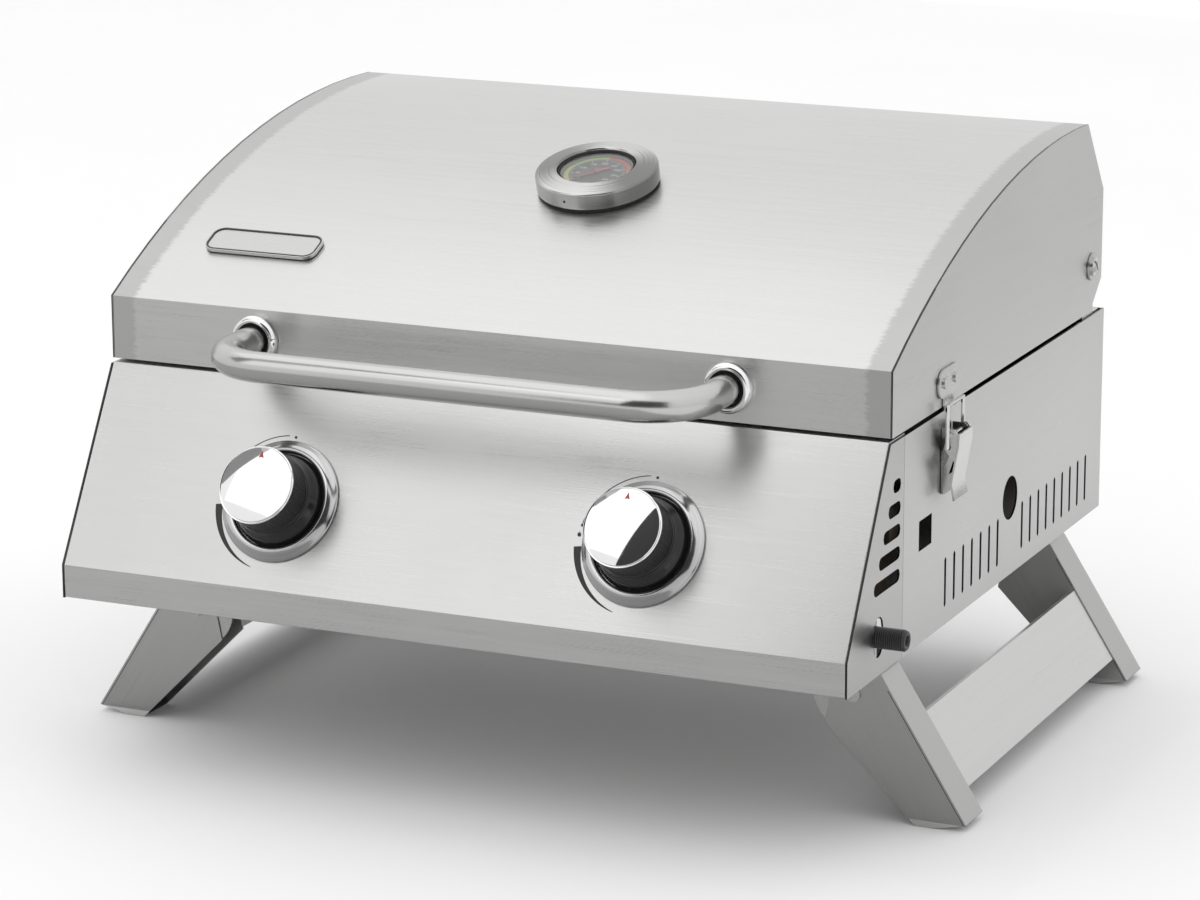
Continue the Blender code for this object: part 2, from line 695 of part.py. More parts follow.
def handle_ferrule(name, side):
    bore = HANDLE_RADIUS + 0.0012
    profile = [(bore, 0.0052), (0.0125, 0.0064), (0.0143, 0.0056), (0.0155, 0.0030),
               (0.0155, 0), (bore, 0)]
    place = facing((0, -1, 0), (side * HANDLE_HALF, -GAP, HANDLE_HEIGHT))
    return turned(f"handle_ferrule_{name}", profile, place, CHROME, closed=True)


def thermometer_housing():
    """Bezel and cup in one, with the probe and its nut under the lid."""
    rim, base = GAUGE_RADIUS, 0.0016
    profile = [(0, 0.0070), (0.0246, 0.0070), (0.0246, 0.0136), (0.0258, 0.0144),
               (0.0378, 0.0128), (rim - 0.0003, 0.0118), (rim, base), (0.0040, base),
               (0.0040, -0.0018), (0.0080, -0.0018), (0.0080, -0.0060), (0.0030, -0.0060),
               (0.0030, -0.0360), (0, -0.0360)]
    return turned("thermometer_housing", profile, lid_seat(GAUGE_X, GAUGE_Y), BRUSHED, steps=32)


def thermometer_gasket():
    """Black ring whose underside follows the lid."""
    profile = [(0.0300, 0.0013), (GAUGE_RADIUS - 0.0008, 0.0013), (GAUGE_RADIUS - 0.0008, -0.0030),
               (0.0300, -0.0030)]
    obj = turned("thermometer_gasket", profile, lid_seat(GAUGE_X, GAUGE_Y), RUBBER, 32, closed=True)
    skin = lid_arc(RIDGE[0], GAP)
    outline = [(skin[0][0], -0.010), *skin, (skin[-1][0], -0.010)]
    return cut(obj, plate("lid_cutter", outline, -0.060, 0.070, ALONG_X))


def gauge_disc(name, radius, low, high, look):
    profile = [(0, high), (radius, high), (radius, low), (0, low)]
    return turned(name, profile, lid_seat(GAUGE_X, GAUGE_Y), look)


def thermometer_needle():
    """Pointer with a broad tail; it starts at the cold end of the scale."""
    tip, tail, hub = 0.0165, 0.0085, 0.0022
    outline = [(-0.0004, tip), (-0.0007, hub), *arc((0, 0), hub, 115, 245, 4), (-0.0012, -tail),
               (0.0012, -tail), *arc((0, 0), hub, 295, 425, 4), (0.0007, hub), (0.0004, tip)]
    obj = plate("thermometer_needle", outline, 0.0088, 0.0094, ALONG_Z, NEEDLE_RED)
    turn = Matrix.Rotation(math.radians(-NEEDLE_START_DEG), 4, "Z")
    obj.matrix_local = lid_seat(GAUGE_X, GAUGE_Y) @ turn @ Matrix.Translation((0, 0, 0.0091))
    return obj


def badge():
    """Blank name plate with a raised border."""
    width, height, depth = BADGE_SIZE
    outline = rounded(-width / 2, width / 2, -height / 2, height / 2, 0.0080)
    field = rounded(0.0012 - width / 2, width / 2 - 0.0012, 0.0012 - height / 2, height / 2 - 0.0012,
                    0.0068)
    obj = plate("badge", outline, 0.0004, depth, ALONG_Z, BRUSHED)
    cutter = plate("badge_field", field, depth - 0.0004, depth + 0.002, ALONG_Z)
    seat = lid_seat(BADGE_X, BADGE_Y)
    for piece in (obj, cutter):
        piece.matrix_local = seat @ piece.matrix_local
    return cut(obj, cutter)


# ---------------------------------------------------------------- hinges
def hinge_bracket(name, side):
    low, high = span(side, TUB_RIM_HALF + 0.0004, BODY_HALF - SHEET - 0.0004)
    reach = 0.0105
    outline = [(HINGE[0] - reach, -0.060), (HINGE[0] + reach, -0.060), *arc(HINGE, reach, 0, 180, 8)]
    hole = circle(HINGE, 0.0033, 12)
    return plate(f"hinge_bracket_{name}", outline, low, high, ALONG_X, ZINC, [hole])


def hinge_bolt(name, side):
    """Slotted bolt with its washer outside the lid and its nut inside the bracket."""
    skin, inside = BODY_HALF + GAP, TUB_RIM_HALF
    profile = [(0, skin + 0.0040), (0.0042, skin + 0.0038), (0.0062, skin + 0.0026),
               (0.0062, skin + 0.0012), (0.0092, skin + 0.0012), (0.0092, skin), (0.0030, skin),
               (0.0030, inside), (0.0058, inside), (0.0058, inside - 0.0040), (0, inside - 0.0040)]
    place = facing((side, 0, 0), (0, *HINGE))
    obj = turned(f"hinge_bolt_{name}", profile, place, ZINC, steps=16)
    low, high = span(side, skin + 0.0028, skin + 0.0060)
    slot = box("slot_cutter", (low, HINGE[0] - 0.0008, HINGE[1] - 0.008),
               (high, HINGE[0] + 0.0008, HINGE[1] + 0.008))
    slot.rotation_euler.x = math.radians(40)
    return cut(obj, slot)


# ---------------------------------------------------------------- latches
def strike(name, side):
    """Riveted plate on the lid, with a short lip at the seam."""
    low, high = span(side, BODY_HALF + GAP, BODY_HALF + 0.0016)
    plate_outline = rounded(LATCH_Y - 0.019, LATCH_Y + 0.019, 0.0055, 0.0235, 0.0085)
    obj = plate(f"strike_{name}", plate_outline, low, high, ALONG_X, ZINC)
    neck = rectangle(LATCH_Y - 0.009, LATCH_Y + 0.009, -0.0015, 0.0090)
    low, high = span(side, BODY_HALF + GAP + 0.0001, BODY_HALF + 0.0015)
    weld(obj, plate("strike_neck", neck, low, high, ALONG_X))
    low, high = span(side, BODY_HALF + 0.0008, BODY_HALF + 0.0030)
    weld(obj, box("strike_lip", (low, LATCH_Y - 0.007, -0.0013), (high, LATCH_Y + 0.007, -0.0001)))
    for y in (LATCH_Y - 0.0095, LATCH_Y + 0.0095):
        start = (side * (BODY_HALF + 0.0010), y, 0.0148)
        end = (side * (BODY_HALF + 0.0027), y, 0.0148)
        weld(obj, rod("strike_rivet", 0.0032, start, end, sides=12))
    return obj


def latch_base(name, side):
    """Plate on the firebox side with two ears that carry the lever's pin."""
    low, high = span(side, BODY_HALF + GAP, BODY_HALF + 0.0015)
    outline = rounded(LATCH_Y - 0.010, LATCH_Y + 0.010, -0.054, -0.024, 0.003, 2)
    obj = plate(f"latch_base_{name}", outline, low, high, ALONG_X, ZINC)
    foot = BODY_HALF + 0.0004
    ear = [(foot, -0.036), (foot + 0.0020, -0.036), *arc(LATCH_PIN, 0.0036, -30, 110, 6), (foot, -0.0125)]
    pin_hole = circle(LATCH_PIN, 0.0019, 10)
    for sign in (-1, 1):
        near, far = sorted((LATCH_Y + sign * 0.0086, LATCH_Y + sign * 0.0099))
        weld(obj, plate("latch_ear", mirrored(ear, side), near, far, ALONG_Y,
                        holes=[mirrored(pin_hole, side)]))
    return obj


def latch_lever(name, side):
    """Bent grip between two flanges, with the pin that turns in the base's ears."""
    face = [(0.2724, -0.0150), (0.2722, -0.0220), (0.2680, -0.0460), (0.2698, -0.0560)]
    outline = mirrored(sheet_outline(face, -SHEET), side)
    obj = plate(f"latch_lever_{name}", outline, LATCH_Y - 0.0119, LATCH_Y + 0.0119, ALONG_Y, ZINC)
    flange = [(0.2634, -0.0140), (0.2655, -0.0124), (0.2690, -0.0126), (0.2718, -0.0160),
              (0.2716, -0.0225), (0.2698, -0.0330), (0.2660, -0.0290), (0.2630, -0.0250)]
    foot_hole = circle(BAIL_FOOT, BAIL_WIRE + 0.0004, 10)
    for sign in (-1, 1):
        near, far = sorted((LATCH_Y + sign * 0.0107, LATCH_Y + sign * 0.0118))
        weld(obj, plate("lever_flange", mirrored(flange, side), near, far, ALONG_Y,
                        holes=[mirrored(foot_hole, side)]))
    x, z = side * LATCH_PIN[0], LATCH_PIN[1]
    return weld(obj, rod("lever_pin", 0.0016, (x, LATCH_Y - 0.0126, z), (x, LATCH_Y + 0.0126, z),
                         sides=10))


def latch_bail(name, side):
    """Wire loop hung in the lever; its bar passes in front of the strike."""
    foot_x, foot_z = side * BAIL_FOOT[0], BAIL_FOOT[1]
    head_x, head_z = side * BAIL_HEAD[0], BAIL_HEAD[1]
    front, back = LATCH_Y - BAIL_HALF, LATCH_Y + BAIL_HALF
    path = [(foot_x, LATCH_Y - 0.0104, foot_z), (foot_x, front, foot_z), (head_x, front, head_z),
            (head_x, back, head_z), (foot_x, back, foot_z), (foot_x, LATCH_Y + 0.0104, foot_z)]
    return wire(f"latch_bail_{name}", path, BAIL_WIRE, ZINC)


# ---------------------------------------------------------------- legs
def leg(name, side, front):
    """Channel of bent sheet, open inwards, with a closed foot."""
    shoulder = Vector(LEG_SHOULDER) - Vector(LEG_PIVOT)
    start = math.degrees(math.atan2(shoulder.y, shoulder.x))
    crown = arc(LEG_PIVOT, shoulder.length, start, 130, 6)
    outer = [LEG_FOOT_INNER, LEG_FOOT_LAND, LEG_FOOT_OUTER, LEG_STRIP_TOP]
    outline = mirrored([*outer, *crown, LEG_THROAT, LEG_KINK], side)
    obj = plate(name, outline, front, front + LEG_DEPTH, ALONG_Y, BRUSHED)
    wall = offset_path([*outer, LEG_SHOULDER, crown[2]], SHEET)
    hollow = [(0.2400, wall[0][1]), *wall[1:-1], (0.2380, -0.1350), (0.1900, -0.1350), (0.1900, -0.2100)]
    cut(obj, plate("leg_hollow", mirrored(hollow, side), front + SHEET, front + LEG_DEPTH - SHEET,
                   ALONG_Y))
    x, z = side * LEG_PIVOT[0], LEG_PIVOT[1]
    near, far = (front - 0.005, front + 0.005) if front == FRONT_LEG_Y else \
        (front + LEG_DEPTH - 0.005, front + LEG_DEPTH + 0.005)
    return cut(obj, rod("pin_cutter", LEG_PIN_RADIUS + GAP, (x, near, z), (x, far, z), sides=16))


def leg_panel(name, side):
    """Sheet between the two legs, its long edges folded inwards."""
    strip = (Vector(LEG_FOOT_OUTER) - Vector(LEG_STRIP_TOP)).normalized()
    inward = Vector((strip.y, -strip.x))
    face = Vector(LEG_STRIP_TOP) + inward * 0.0010
    top, bottom = face + strip * 0.0135, face + strip * 0.0655
    fold = 0.0080
    path = [tuple(top + inward * fold), tuple(top), tuple(bottom), tuple(bottom + inward * fold)]
    outline = mirrored(sheet_outline(path, -SHEET), side)
    return plate(name, outline, FRONT_LEG_Y + LEG_DEPTH + GAP, REAR_LEG_Y - GAP, ALONG_Y, BRUSHED)


def leg_bracket(name, side):
    """Strap under the firebox with an ear and a riveted pin inside each leg."""
    top = TUB_FLOOR - GAP
    web = SHEET + 0.0004
    front_ear = FRONT_LEG_Y + web
    rear_ear = REAR_LEG_Y + LEG_DEPTH - web - EAR_THICKNESS
    low, high = span(side, 0.2050, 0.2450)
    obj = box(f"leg_bracket_{name}", (low, front_ear, top - SHEET),
              (high, rear_ear + EAR_THICKNESS, top), ZINC)
    ear = mirrored([(0.2380, top - 0.0002), (0.2060, top - 0.0002), *arc(LEG_PIVOT, EAR_RADIUS, 175, 238, 6),
                    *arc(LEG_PIVOT, EAR_SMALL_RADIUS, 247, 380, 8), (0.2380, -0.1500)], side)
    x, z = side * LEG_PIVOT[0], LEG_PIVOT[1]
    for near, outward in ((front_ear, -1), (rear_ear, 1)):
        weld(obj, plate("leg_ear", ear, near, near + EAR_THICKNESS, ALONG_Y))
        middle = near + EAR_THICKNESS / 2
        inner, head = middle - outward * 0.0040, middle + outward * (EAR_THICKNESS / 2 + web + GAP)
        weld(obj, rod("leg_pin", LEG_PIN_RADIUS, (x, middle, z), (x, head + outward * 0.0008, z), sides=16))
        weld(obj, rod("pin_head", 0.0050, (x, head, z), (x, head + outward * 0.0016, z), sides=16))
        weld(obj, rod("pin_nut", 0.0055, (x, inner, z), (x, middle, z), sides=6))
    return obj


# ---------------------------------------------------------------- drip tray
def drip_tray():
    """Shallow tray that slides out at the back, with a face plate and a pull lip."""
    face = BODY_BACK + GAP
    obj = tub("drip_tray", (-TRAY_HALF, TRAY_FRONT, TRAY_BOTTOM), (TRAY_HALF, face + 0.0006, TRAY_TOP),
              0.0010, BRUSHED)
    cover = box("tray_face", (-TRAY_HALF - 0.006, face, TRAY_BOTTOM - 0.0015),
                (TRAY_HALF + 0.006, face + SHEET, TRAY_TOP + 0.0030))
    lip = box("tray_lip", (-0.040, face + 0.0005, TRAY_TOP - 0.0060),
              (0.040, face + 0.0080, TRAY_TOP - 0.0048))
    return weld(obj, cover, lip)


def tray_guide():
    """Two angle rails under the tub, joined by a strap in front."""
    wall, shelf = TRAY_HALF + 0.0008, TRAY_HALF - 0.0100
    top, low = TUB_FLOOR - GAP, TRAY_BOTTOM - GAP - SHEET
    front, back = TRAY_FRONT - 0.0120, BODY_BACK - SHEET - 0.0010
    angle = [(wall + SHEET, top), (wall + SHEET, low), (shelf, low), (shelf, low + SHEET),
             (wall, low + SHEET), (wall, top)]
    obj = box("tray_guide", (-wall - 0.0010, front, low), (wall + 0.0010, front + 0.010, low + SHEET),
              ZINC)
    for _, side in SIDES:
        weld(obj, plate("tray_rail", mirrored(angle, side), front + 0.0002, back, ALONG_Y))
    return obj


# ---------------------------------------------------------------- assembly
def build_body():
    control_panel()
    back_panel()
    fire_box()
    flame_tamer()
    cooking_grate()
    gas_manifold()
    gas_inlet()
    tray_guide()
    for name, side in SIDES:
        for make in (side_panel, cheek, burner, electrode, valve, knob_bezel, hinge_bracket,
                     hinge_bolt, latch_base, leg_bracket):
            make(name, side)


def build_lid():
    pieces = [lid_skin(), lid_rear(), handle(), thermometer_housing(), thermometer_gasket(),
              gauge_disc("thermometer_dial", 0.0243, 0.0073, 0.0083, DIAL_FACE),
              gauge_disc("thermometer_glass", 0.0243, 0.0106, 0.0118, GLASS), badge()]
    for name, side in SIDES:
        pieces += [lid_side(name, side), handle_ferrule(name, side), strike(name, side)]
    hang(joint_empty("lid_hinge", (0, *HINGE)), *pieces)
    thermometer_needle()


def build_controls():
    for name, side in SIDES:
        pivot = joint_empty(f"knob_axis_{name}", on_knob_axis(side, 0))
        hang(pivot, valve_collar(name, side), knob_body(name, side), knob_cap(name, side))


def build_latches():
    for name, side in SIDES:
        pin = joint_empty(f"latch_pin_{name}", (side * LATCH_PIN[0], LATCH_Y, LATCH_PIN[1]))
        hang(pin, latch_lever(name, side))
        foot = joint_empty(f"bail_foot_{name}", (side * BAIL_FOOT[0], LATCH_Y, BAIL_FOOT[1]))
        hang(foot, latch_bail(name, side))


def build_legs():
    for name, side in SIDES:
        pivot = joint_empty(f"leg_fold_{name}", (side * LEG_PIVOT[0], FRONT_LEG_Y, LEG_PIVOT[1]))
        hang(pivot, leg(f"leg_front_{name}", side, FRONT_LEG_Y),
             leg(f"leg_rear_{name}", side, REAR_LEG_Y), leg_panel(f"leg_panel_{name}", side))


clear_scene()
PIECES = new_collection("portable_tabletop_grill")
TOOLS = new_collection("cutters")
ORIGIN = bpy.data.objects.new("grill_origin", None)
PIECES.objects.link(ORIGIN)
ORIGIN.location = (0, -DEPTH_CENTRE, SEAM_HEIGHT)
build_body()
build_lid()
build_controls()
build_latches()
build_legs()
drip_tray()
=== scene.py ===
import json
import math

import bmesh
import bpy
from mathutils import Matrix, Vector


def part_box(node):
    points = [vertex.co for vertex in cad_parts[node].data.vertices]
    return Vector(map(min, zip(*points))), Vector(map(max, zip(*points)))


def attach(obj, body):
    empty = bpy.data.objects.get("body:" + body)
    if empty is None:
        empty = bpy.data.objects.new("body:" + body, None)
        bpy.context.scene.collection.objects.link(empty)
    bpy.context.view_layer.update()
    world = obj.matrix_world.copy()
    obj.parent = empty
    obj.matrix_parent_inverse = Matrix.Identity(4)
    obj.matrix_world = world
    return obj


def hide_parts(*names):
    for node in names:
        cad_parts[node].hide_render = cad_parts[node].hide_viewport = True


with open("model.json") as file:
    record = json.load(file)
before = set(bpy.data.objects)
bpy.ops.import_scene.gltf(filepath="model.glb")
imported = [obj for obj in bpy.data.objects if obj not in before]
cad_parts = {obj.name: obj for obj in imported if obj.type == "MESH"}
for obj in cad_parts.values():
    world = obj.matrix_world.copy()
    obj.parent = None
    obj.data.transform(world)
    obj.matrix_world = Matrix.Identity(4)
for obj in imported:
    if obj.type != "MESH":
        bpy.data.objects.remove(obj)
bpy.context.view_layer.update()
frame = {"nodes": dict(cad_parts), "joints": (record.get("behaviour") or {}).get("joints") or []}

# Looks of the portable tabletop grill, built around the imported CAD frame.
# Axes and units are the CAD's: X to the right, Y to the back, Z up, metres. Turned pieces
# are built around their own +Z and then placed on the CAD's joint or box they belong to.

NODES = frame["nodes"]
JOINTS = {joint["name"]: joint for joint in frame["joints"]}
SIDES = (("left", -1), ("right", 1))
HERE = Matrix.Identity(4)
FACETS = (0, 1), (2, 3), (0, 2), (1, 3)  # which loops of a hollow section face each other


# ---------------------------------------------------------------- placing
def seat(position, out, right=(1, 0, 0)):
    """Placement whose own +Z leaves a surface and whose own +X stays to the right."""
    out, right = Vector(out).normalized(), Vector(right)
    turn = Matrix((right, out.cross(right), out)).transposed().to_4x4()
    return Matrix.Translation(position) @ turn


def upright(direction, position):
    """Placement whose own +Z looks along a direction."""
    turn = Vector(direction).to_track_quat("Z", "Y").to_matrix().to_4x4()
    return Matrix.Translation(position) @ turn


def middle(node):
    """Centre of a node's box."""
    low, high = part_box(node)
    return (low + high) / 2


# ---------------------------------------------------------------- meshes
WELD = 1e-7        # points closer than this become one
EDGE_SHARE = 0.45  # the most of an edge that the rounding of one of its corners takes


def put(name, data, place=HERE):
    """Adds an object to the scene."""
    obj = bpy.data.objects.new(name, data)
    bpy.context.scene.collection.objects.link(obj)
    obj.matrix_world = place
    return obj


def piece(name, mesh, place, body, look, replaces=(), sharp=32):
    """Adds a mesh to the scene on a body, with its material; folds over sharp degrees stay."""
    obj = put(name, mesh, place)
    mesh.materials.clear()
    mesh.materials.append(look)
    mesh.polygons.foreach_set("use_smooth", [True] * len(mesh.polygons))
    mesh.set_sharp_from_angle(angle=math.radians(sharp))
    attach(obj, body)
    if replaces:
        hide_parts(*replaces)
    return obj


def mesh_from(name, points, faces):
    """Mesh with its doubled points joined and its faces looking outwards."""
    mesh = bpy.data.meshes.new(name)
    mesh.from_pydata(points, [], faces)
    form = bmesh.new()
    form.from_mesh(mesh)
    bmesh.ops.remove_doubles(form, verts=form.verts, dist=WELD)
    bmesh.ops.recalc_face_normals(form, faces=form.faces)
    form.to_mesh(mesh)
    form.free()
    return mesh


def fillet(profile, radius, closed=False, steps=3):
    """Rounds a profile's corners."""
    rounded, count = [], len(profile)
    for i, point in enumerate(profile):
        if not closed and i in (0, count - 1):
            rounded.append(point)
            continue
        here = Vector(point)
        before, after = Vector(profile[i - 1]) - here, Vector(profile[(i + 1) % count]) - here
        reach = min(radius, before.length * EDGE_SHARE, after.length * EDGE_SHARE)
        a, b = here + before.normalized() * reach, here + after.normalized() * reach
        for k in range(steps + 1):
            t = k / steps
            rounded.append(tuple(a * (1 - t) ** 2 + here * (2 * t * (1 - t)) + b * t ** 2))
    return rounded


def lathe_mesh(name, profile, segments=96, closed=False, ripple=None):
    """Turned mesh of (radius, height) pairs; ripple(radius, height, angle) changes the radius."""
    points, faces = [], []
    for radius, height in profile:
        for k in range(segments):
            angle = 2 * math.pi * k / segments
            r = ripple(radius, height, angle) if ripple else radius
            points.append((r * math.cos(angle), r * math.sin(angle), height))
    rows = len(profile)
    for i in range(rows if closed else rows - 1):
        a, b = i * segments, ((i + 1) % rows) * segments
        for k in range(segments):
            m = (k + 1) % segments
            faces.append((a + k, a + m, b + m, b + k))
    return mesh_from(name, points, faces)


def prism_mesh(name, outlines, low, high):
    """Flat outlines made solid between two heights."""
    points, faces = [], []
    for outline in outlines:
        n, base = len(outline), len(points)
        points += [(u, v, low) for u, v in outline] + [(u, v, high) for u, v in outline]
        faces += [tuple(range(base + n, base + 2 * n)), tuple(range(base + n - 1, base - 1, -1))]
        faces += [(base + i, base + (i + 1) % n, base + n + (i + 1) % n, base + n + i)
                  for i in range(n)]
    return mesh_from(name, points, faces)


def band_mesh(name, inner, outer, start, end, steps, low, high):
    """Part of a ring between two angles in degrees; a radius may be a (start, end) pair."""
    inner, outer = ((r, r) if isinstance(r, float) else r for r in (inner, outer))
    rims = []
    for first, last in (outer, inner):
        rim = []
        for k in range(steps + 1):
            t = k / steps
            angle, r = math.radians(start + (end - start) * t), first + (last - first) * t
            rim.append((r * math.cos(angle), r * math.sin(angle)))
        rims.append(rim)
    points, faces = [], []
    for height in (low, high):
        for rim in rims:
            points += [(u, v, height) for u, v in rim]
    n = steps + 1
    for a, b in FACETS:
        faces += [(a * n + k, a * n + k + 1, b * n + k + 1, b * n + k) for k in range(steps)]
    faces += [(k, n + k, 3 * n + k, 2 * n + k) for k in (0, steps)]
    return mesh_from(name, points, faces)


def curve_mesh(name, paths, radius, roundness=6):
    """Round wires along paths, their ends closed."""
    curve = bpy.data.curves.new(name, "CURVE")
    curve.dimensions = "3D"
    curve.bevel_depth = radius
    curve.bevel_resolution = roundness
    curve.use_fill_caps = True
    for path in paths:
        spline = curve.splines.new("POLY")
        spline.points.add(len(path) - 1)
        for point, position in zip(spline.points, path):
            point.co = (*position, 1)
    return mesh_of(name, curve)


def mesh_of(name, curve):
    """Mesh of a curve or a text."""
    source = put(name + "_source", curve)
    bpy.context.view_layer.update()
    evaluated = source.evaluated_get(bpy.context.evaluated_depsgraph_get())
    mesh = bpy.data.meshes.new_from_object(evaluated)
    bpy.data.objects.remove(source)
    mesh.name = name
    return mesh


def joined(name, meshes):
    """Several meshes as one; each comes with its placement."""
    form = bmesh.new()
    for mesh, place in meshes:
        mesh.transform(place)
        form.from_mesh(mesh)
    mesh = bpy.data.meshes.new(name)
    form.to_mesh(mesh)
    form.free()
    return mesh


def arc(centre, radius, start, end, steps):
    """Points on a circle between two angles in degrees."""
    angles = (math.radians(start + (end - start) * k / steps) for k in range(steps + 1))
    return [(centre[0] + radius * math.cos(a), centre[1] + radius * math.sin(a)) for a in angles]


def round_rect(half_u, half_v, radius, steps=14):
    """Outline of a rectangle with rounded corners."""
    corners = ((1, 1, 0), (-1, 1, 90), (-1, -1, 180), (1, -1, 270))
    return [p for u, v, start in corners
            for p in arc((u * (half_u - radius), v * (half_v - radius)), radius,
                         start, start + 90, steps)]


# ---------------------------------------------------------------- materials
def material(name, **values):
    """New material, its node tree and its shader, with values for the shader's sockets."""
    look = bpy.data.materials.new(name)
    look.use_nodes = True
    shader = look.node_tree.nodes["Principled BSDF"]
    for key, value in values.items():
        shader.inputs[key.replace("_", " ").title().replace("Ior", "IOR")].default_value = value
    return look, look.node_tree, shader


def add(tree, kind, **settings):
    node = tree.nodes.new(kind)
    for key, value in settings.items():
        setattr(node, key, value)
    return node


def noise(tree, size, turn=(0, 0, 0), detail=3.0, coarseness=0.55):
    """Noise in the piece's own axes: size is how long its grain is along each of them."""
    place = add(tree, "ShaderNodeTexCoord")
    shape = add(tree, "ShaderNodeMapping", vector_type="TEXTURE")
    shape.inputs["Rotation"].default_value = [math.radians(a) for a in turn]
    shape.inputs["Scale"].default_value = size if isinstance(size, tuple) else (size,) * 3
    grain = add(tree, "ShaderNodeTexNoise")
    grain.inputs["Scale"].default_value = 1.0
    grain.inputs["Detail"].default_value = detail
    grain.inputs["Roughness"].default_value = coarseness
    tree.links.new(place.outputs["Object"], shape.inputs["Vector"])
    tree.links.new(shape.outputs["Vector"], grain.inputs["Vector"])
    return grain.outputs["Fac"]


def between(tree, value, low, high, start=0.25, end=0.75):
    """Maps start to end, where most of a noise lies, onto low to high."""
    remap = add(tree, "ShaderNodeMapRange")
    for key, number in (("From Min", start), ("From Max", end), ("To Min", low), ("To Max", high)):
        remap.inputs[key].default_value = number
    tree.links.new(value, remap.inputs["Value"])
    return remap.outputs["Result"]


def total(tree, *values):
    """Sum of sockets."""
    result = values[0]
    for value in values[1:]:
        plus = add(tree, "ShaderNodeMath", operation="ADD")
        tree.links.new(result, plus.inputs[0])
        tree.links.new(value, plus.inputs[1])
        result = plus.outputs[0]
    return result


def colours(tree, value, *stops):
    """Colour ramp: (position, colour) stops."""
    ramp = add(tree, "ShaderNodeValToRGB")
    while len(ramp.color_ramp.elements) < len(stops):
        ramp.color_ramp.elements.new(0.5)
    for element, (position, colour) in zip(ramp.color_ramp.elements, stops):
        element.position = position
        element.color = (*colour, 1)
    tree.links.new(value, ramp.inputs["Fac"])
    return ramp.outputs["Color"]


def shade(colour, factor):
    return tuple(min(1.0, channel * factor) for channel in colour)


def bump(tree, shader, height, depth, strength=1.0):
    node = add(tree, "ShaderNodeBump")
    node.inputs["Strength"].default_value = strength
    node.inputs["Distance"].default_value = depth
    tree.links.new(height, node.inputs["Height"])
    tree.links.new(node.outputs["Normal"], shader.inputs["Normal"])


TURN = {"x": (0, 0, 0), "y": (0, 0, 90)}
# Length of the marks on brushed steel, along the grain and across it.
SCRATCH, STREAK, PATCH = (0.060, 0.00045, 0.00045), (0.300, 0.0040, 0.0040), 0.110
RINGS_PER_METRE = 2200.0


def brushed(name, colour, roughness, grain="x", contrast=1.0, stretch=0.7, ends=None,
            painted_edge_shade=False):
    """Steel with fine long scratches, faint wider streaks and a few dull patches.

    ends: half width beyond which the sheet's colour gets painted shade and its roughness is
    raised.
    painted_edge_shade: paints shade, near black, onto the cut edges and hole walls of a sheet
    across X.
    grain: the axis that the scratches follow, or the turn in degrees that brings X onto it.
    """
    turn = TURN[grain] if isinstance(grain, str) else grain
    look, tree, shader = material(name, metallic=1.0, anisotropic=stretch)
    fine = noise(tree, SCRATCH, turn, 2.0)
    wide = noise(tree, STREAK, turn, 3.0)
    patch = noise(tree, PATCH, detail=4.0)
    tone = total(tree, between(tree, fine, -0.16 * contrast, 0.16 * contrast),
                 between(tree, wide, 0.5 - 0.10 * contrast, 0.5 + 0.10 * contrast),
                 between(tree, patch, -0.08, 0.08))
    tint = colours(tree, tone, (0.0, shade(colour, 0.88)), (0.5, colour),
                   (1.0, shade(colour, 1.08)))
    dull = total(tree, between(tree, fine, -0.05 * contrast, 0.05 * contrast),
                 between(tree, wide, -0.015, 0.015),
                 between(tree, patch, roughness - 0.035, roughness + 0.045))
    # Painted shade: the colour darkens beyond the ends. The added roughness there is real.
    if ends:
        edge = painted_end_shade_mask(tree, ends)
        tint = blend(tree, edge, tint, shade(colour, 0.80))
        dull = total(tree, dull, between(tree, edge, 0.0, 0.10, 0.0, 1.0))
    # Painted shade: the cut edges and hole walls turn near black.
    if painted_edge_shade:
        tint = blend(tree, painted_edge_shade_mask(tree), tint, shade(colour, 0.10))
    tree.links.new(tint, shader.inputs["Base Color"])
    tree.links.new(dull, shader.inputs["Roughness"])
    bump(tree, shader, total(tree, fine, wide), 0.000012 * contrast, 0.5)
    lean = math.radians(turn[1])
    across = (0.3, 0, 1) if turn == TURN["y"] else (-math.sin(lean), 0.6, -math.cos(lean))
    constant = add(tree, "ShaderNodeCombineXYZ")
    for socket, number in zip(constant.inputs, across):
        socket.default_value = number
    world = add(tree, "ShaderNodeVectorTransform", vector_type="VECTOR",
                convert_from="OBJECT", convert_to="WORLD")
    tree.links.new(constant.outputs[0], world.inputs[0])
    tree.links.new(world.outputs[0], shader.inputs["Tangent"])
    return look


def painted_end_shade_mask(tree, ends):
    """One beyond a distance from the middle plane, with an uneven edge: where a sheet's ends get
    painted shade.
    """
    place, apart = add(tree, "ShaderNodeTexCoord"), add(tree, "ShaderNodeSeparateXYZ")
    tree.links.new(place.outputs["Object"], apart.inputs[0])
    away = add(tree, "ShaderNodeMath", operation="ABSOLUTE")
    tree.links.new(apart.outputs[0], away.inputs[0])
    ragged, fade = 0.0025, 0.0015
    uneven = between(tree, noise(tree, (0.010, 0.0012, 0.0012), detail=2.0), -ragged, ragged)
    return between(tree, total(tree, away.outputs[0], uneven), 0.0, 1.0, ends - fade, ends + fade)


def painted_edge_shade_mask(tree):
    """One on faces that don't look along X: where a sheet's cut edges and hole walls get painted
    shade.
    """
    shape, apart = add(tree, "ShaderNodeNewGeometry"), add(tree, "ShaderNodeSeparateXYZ")
    tree.links.new(shape.outputs["True Normal"], apart.inputs[0])
    along = add(tree, "ShaderNodeMath", operation="ABSOLUTE")
    tree.links.new(apart.outputs[0], along.inputs[0])
    return between(tree, along.outputs[0], 1.0, 0.0, 0.3, 0.5)


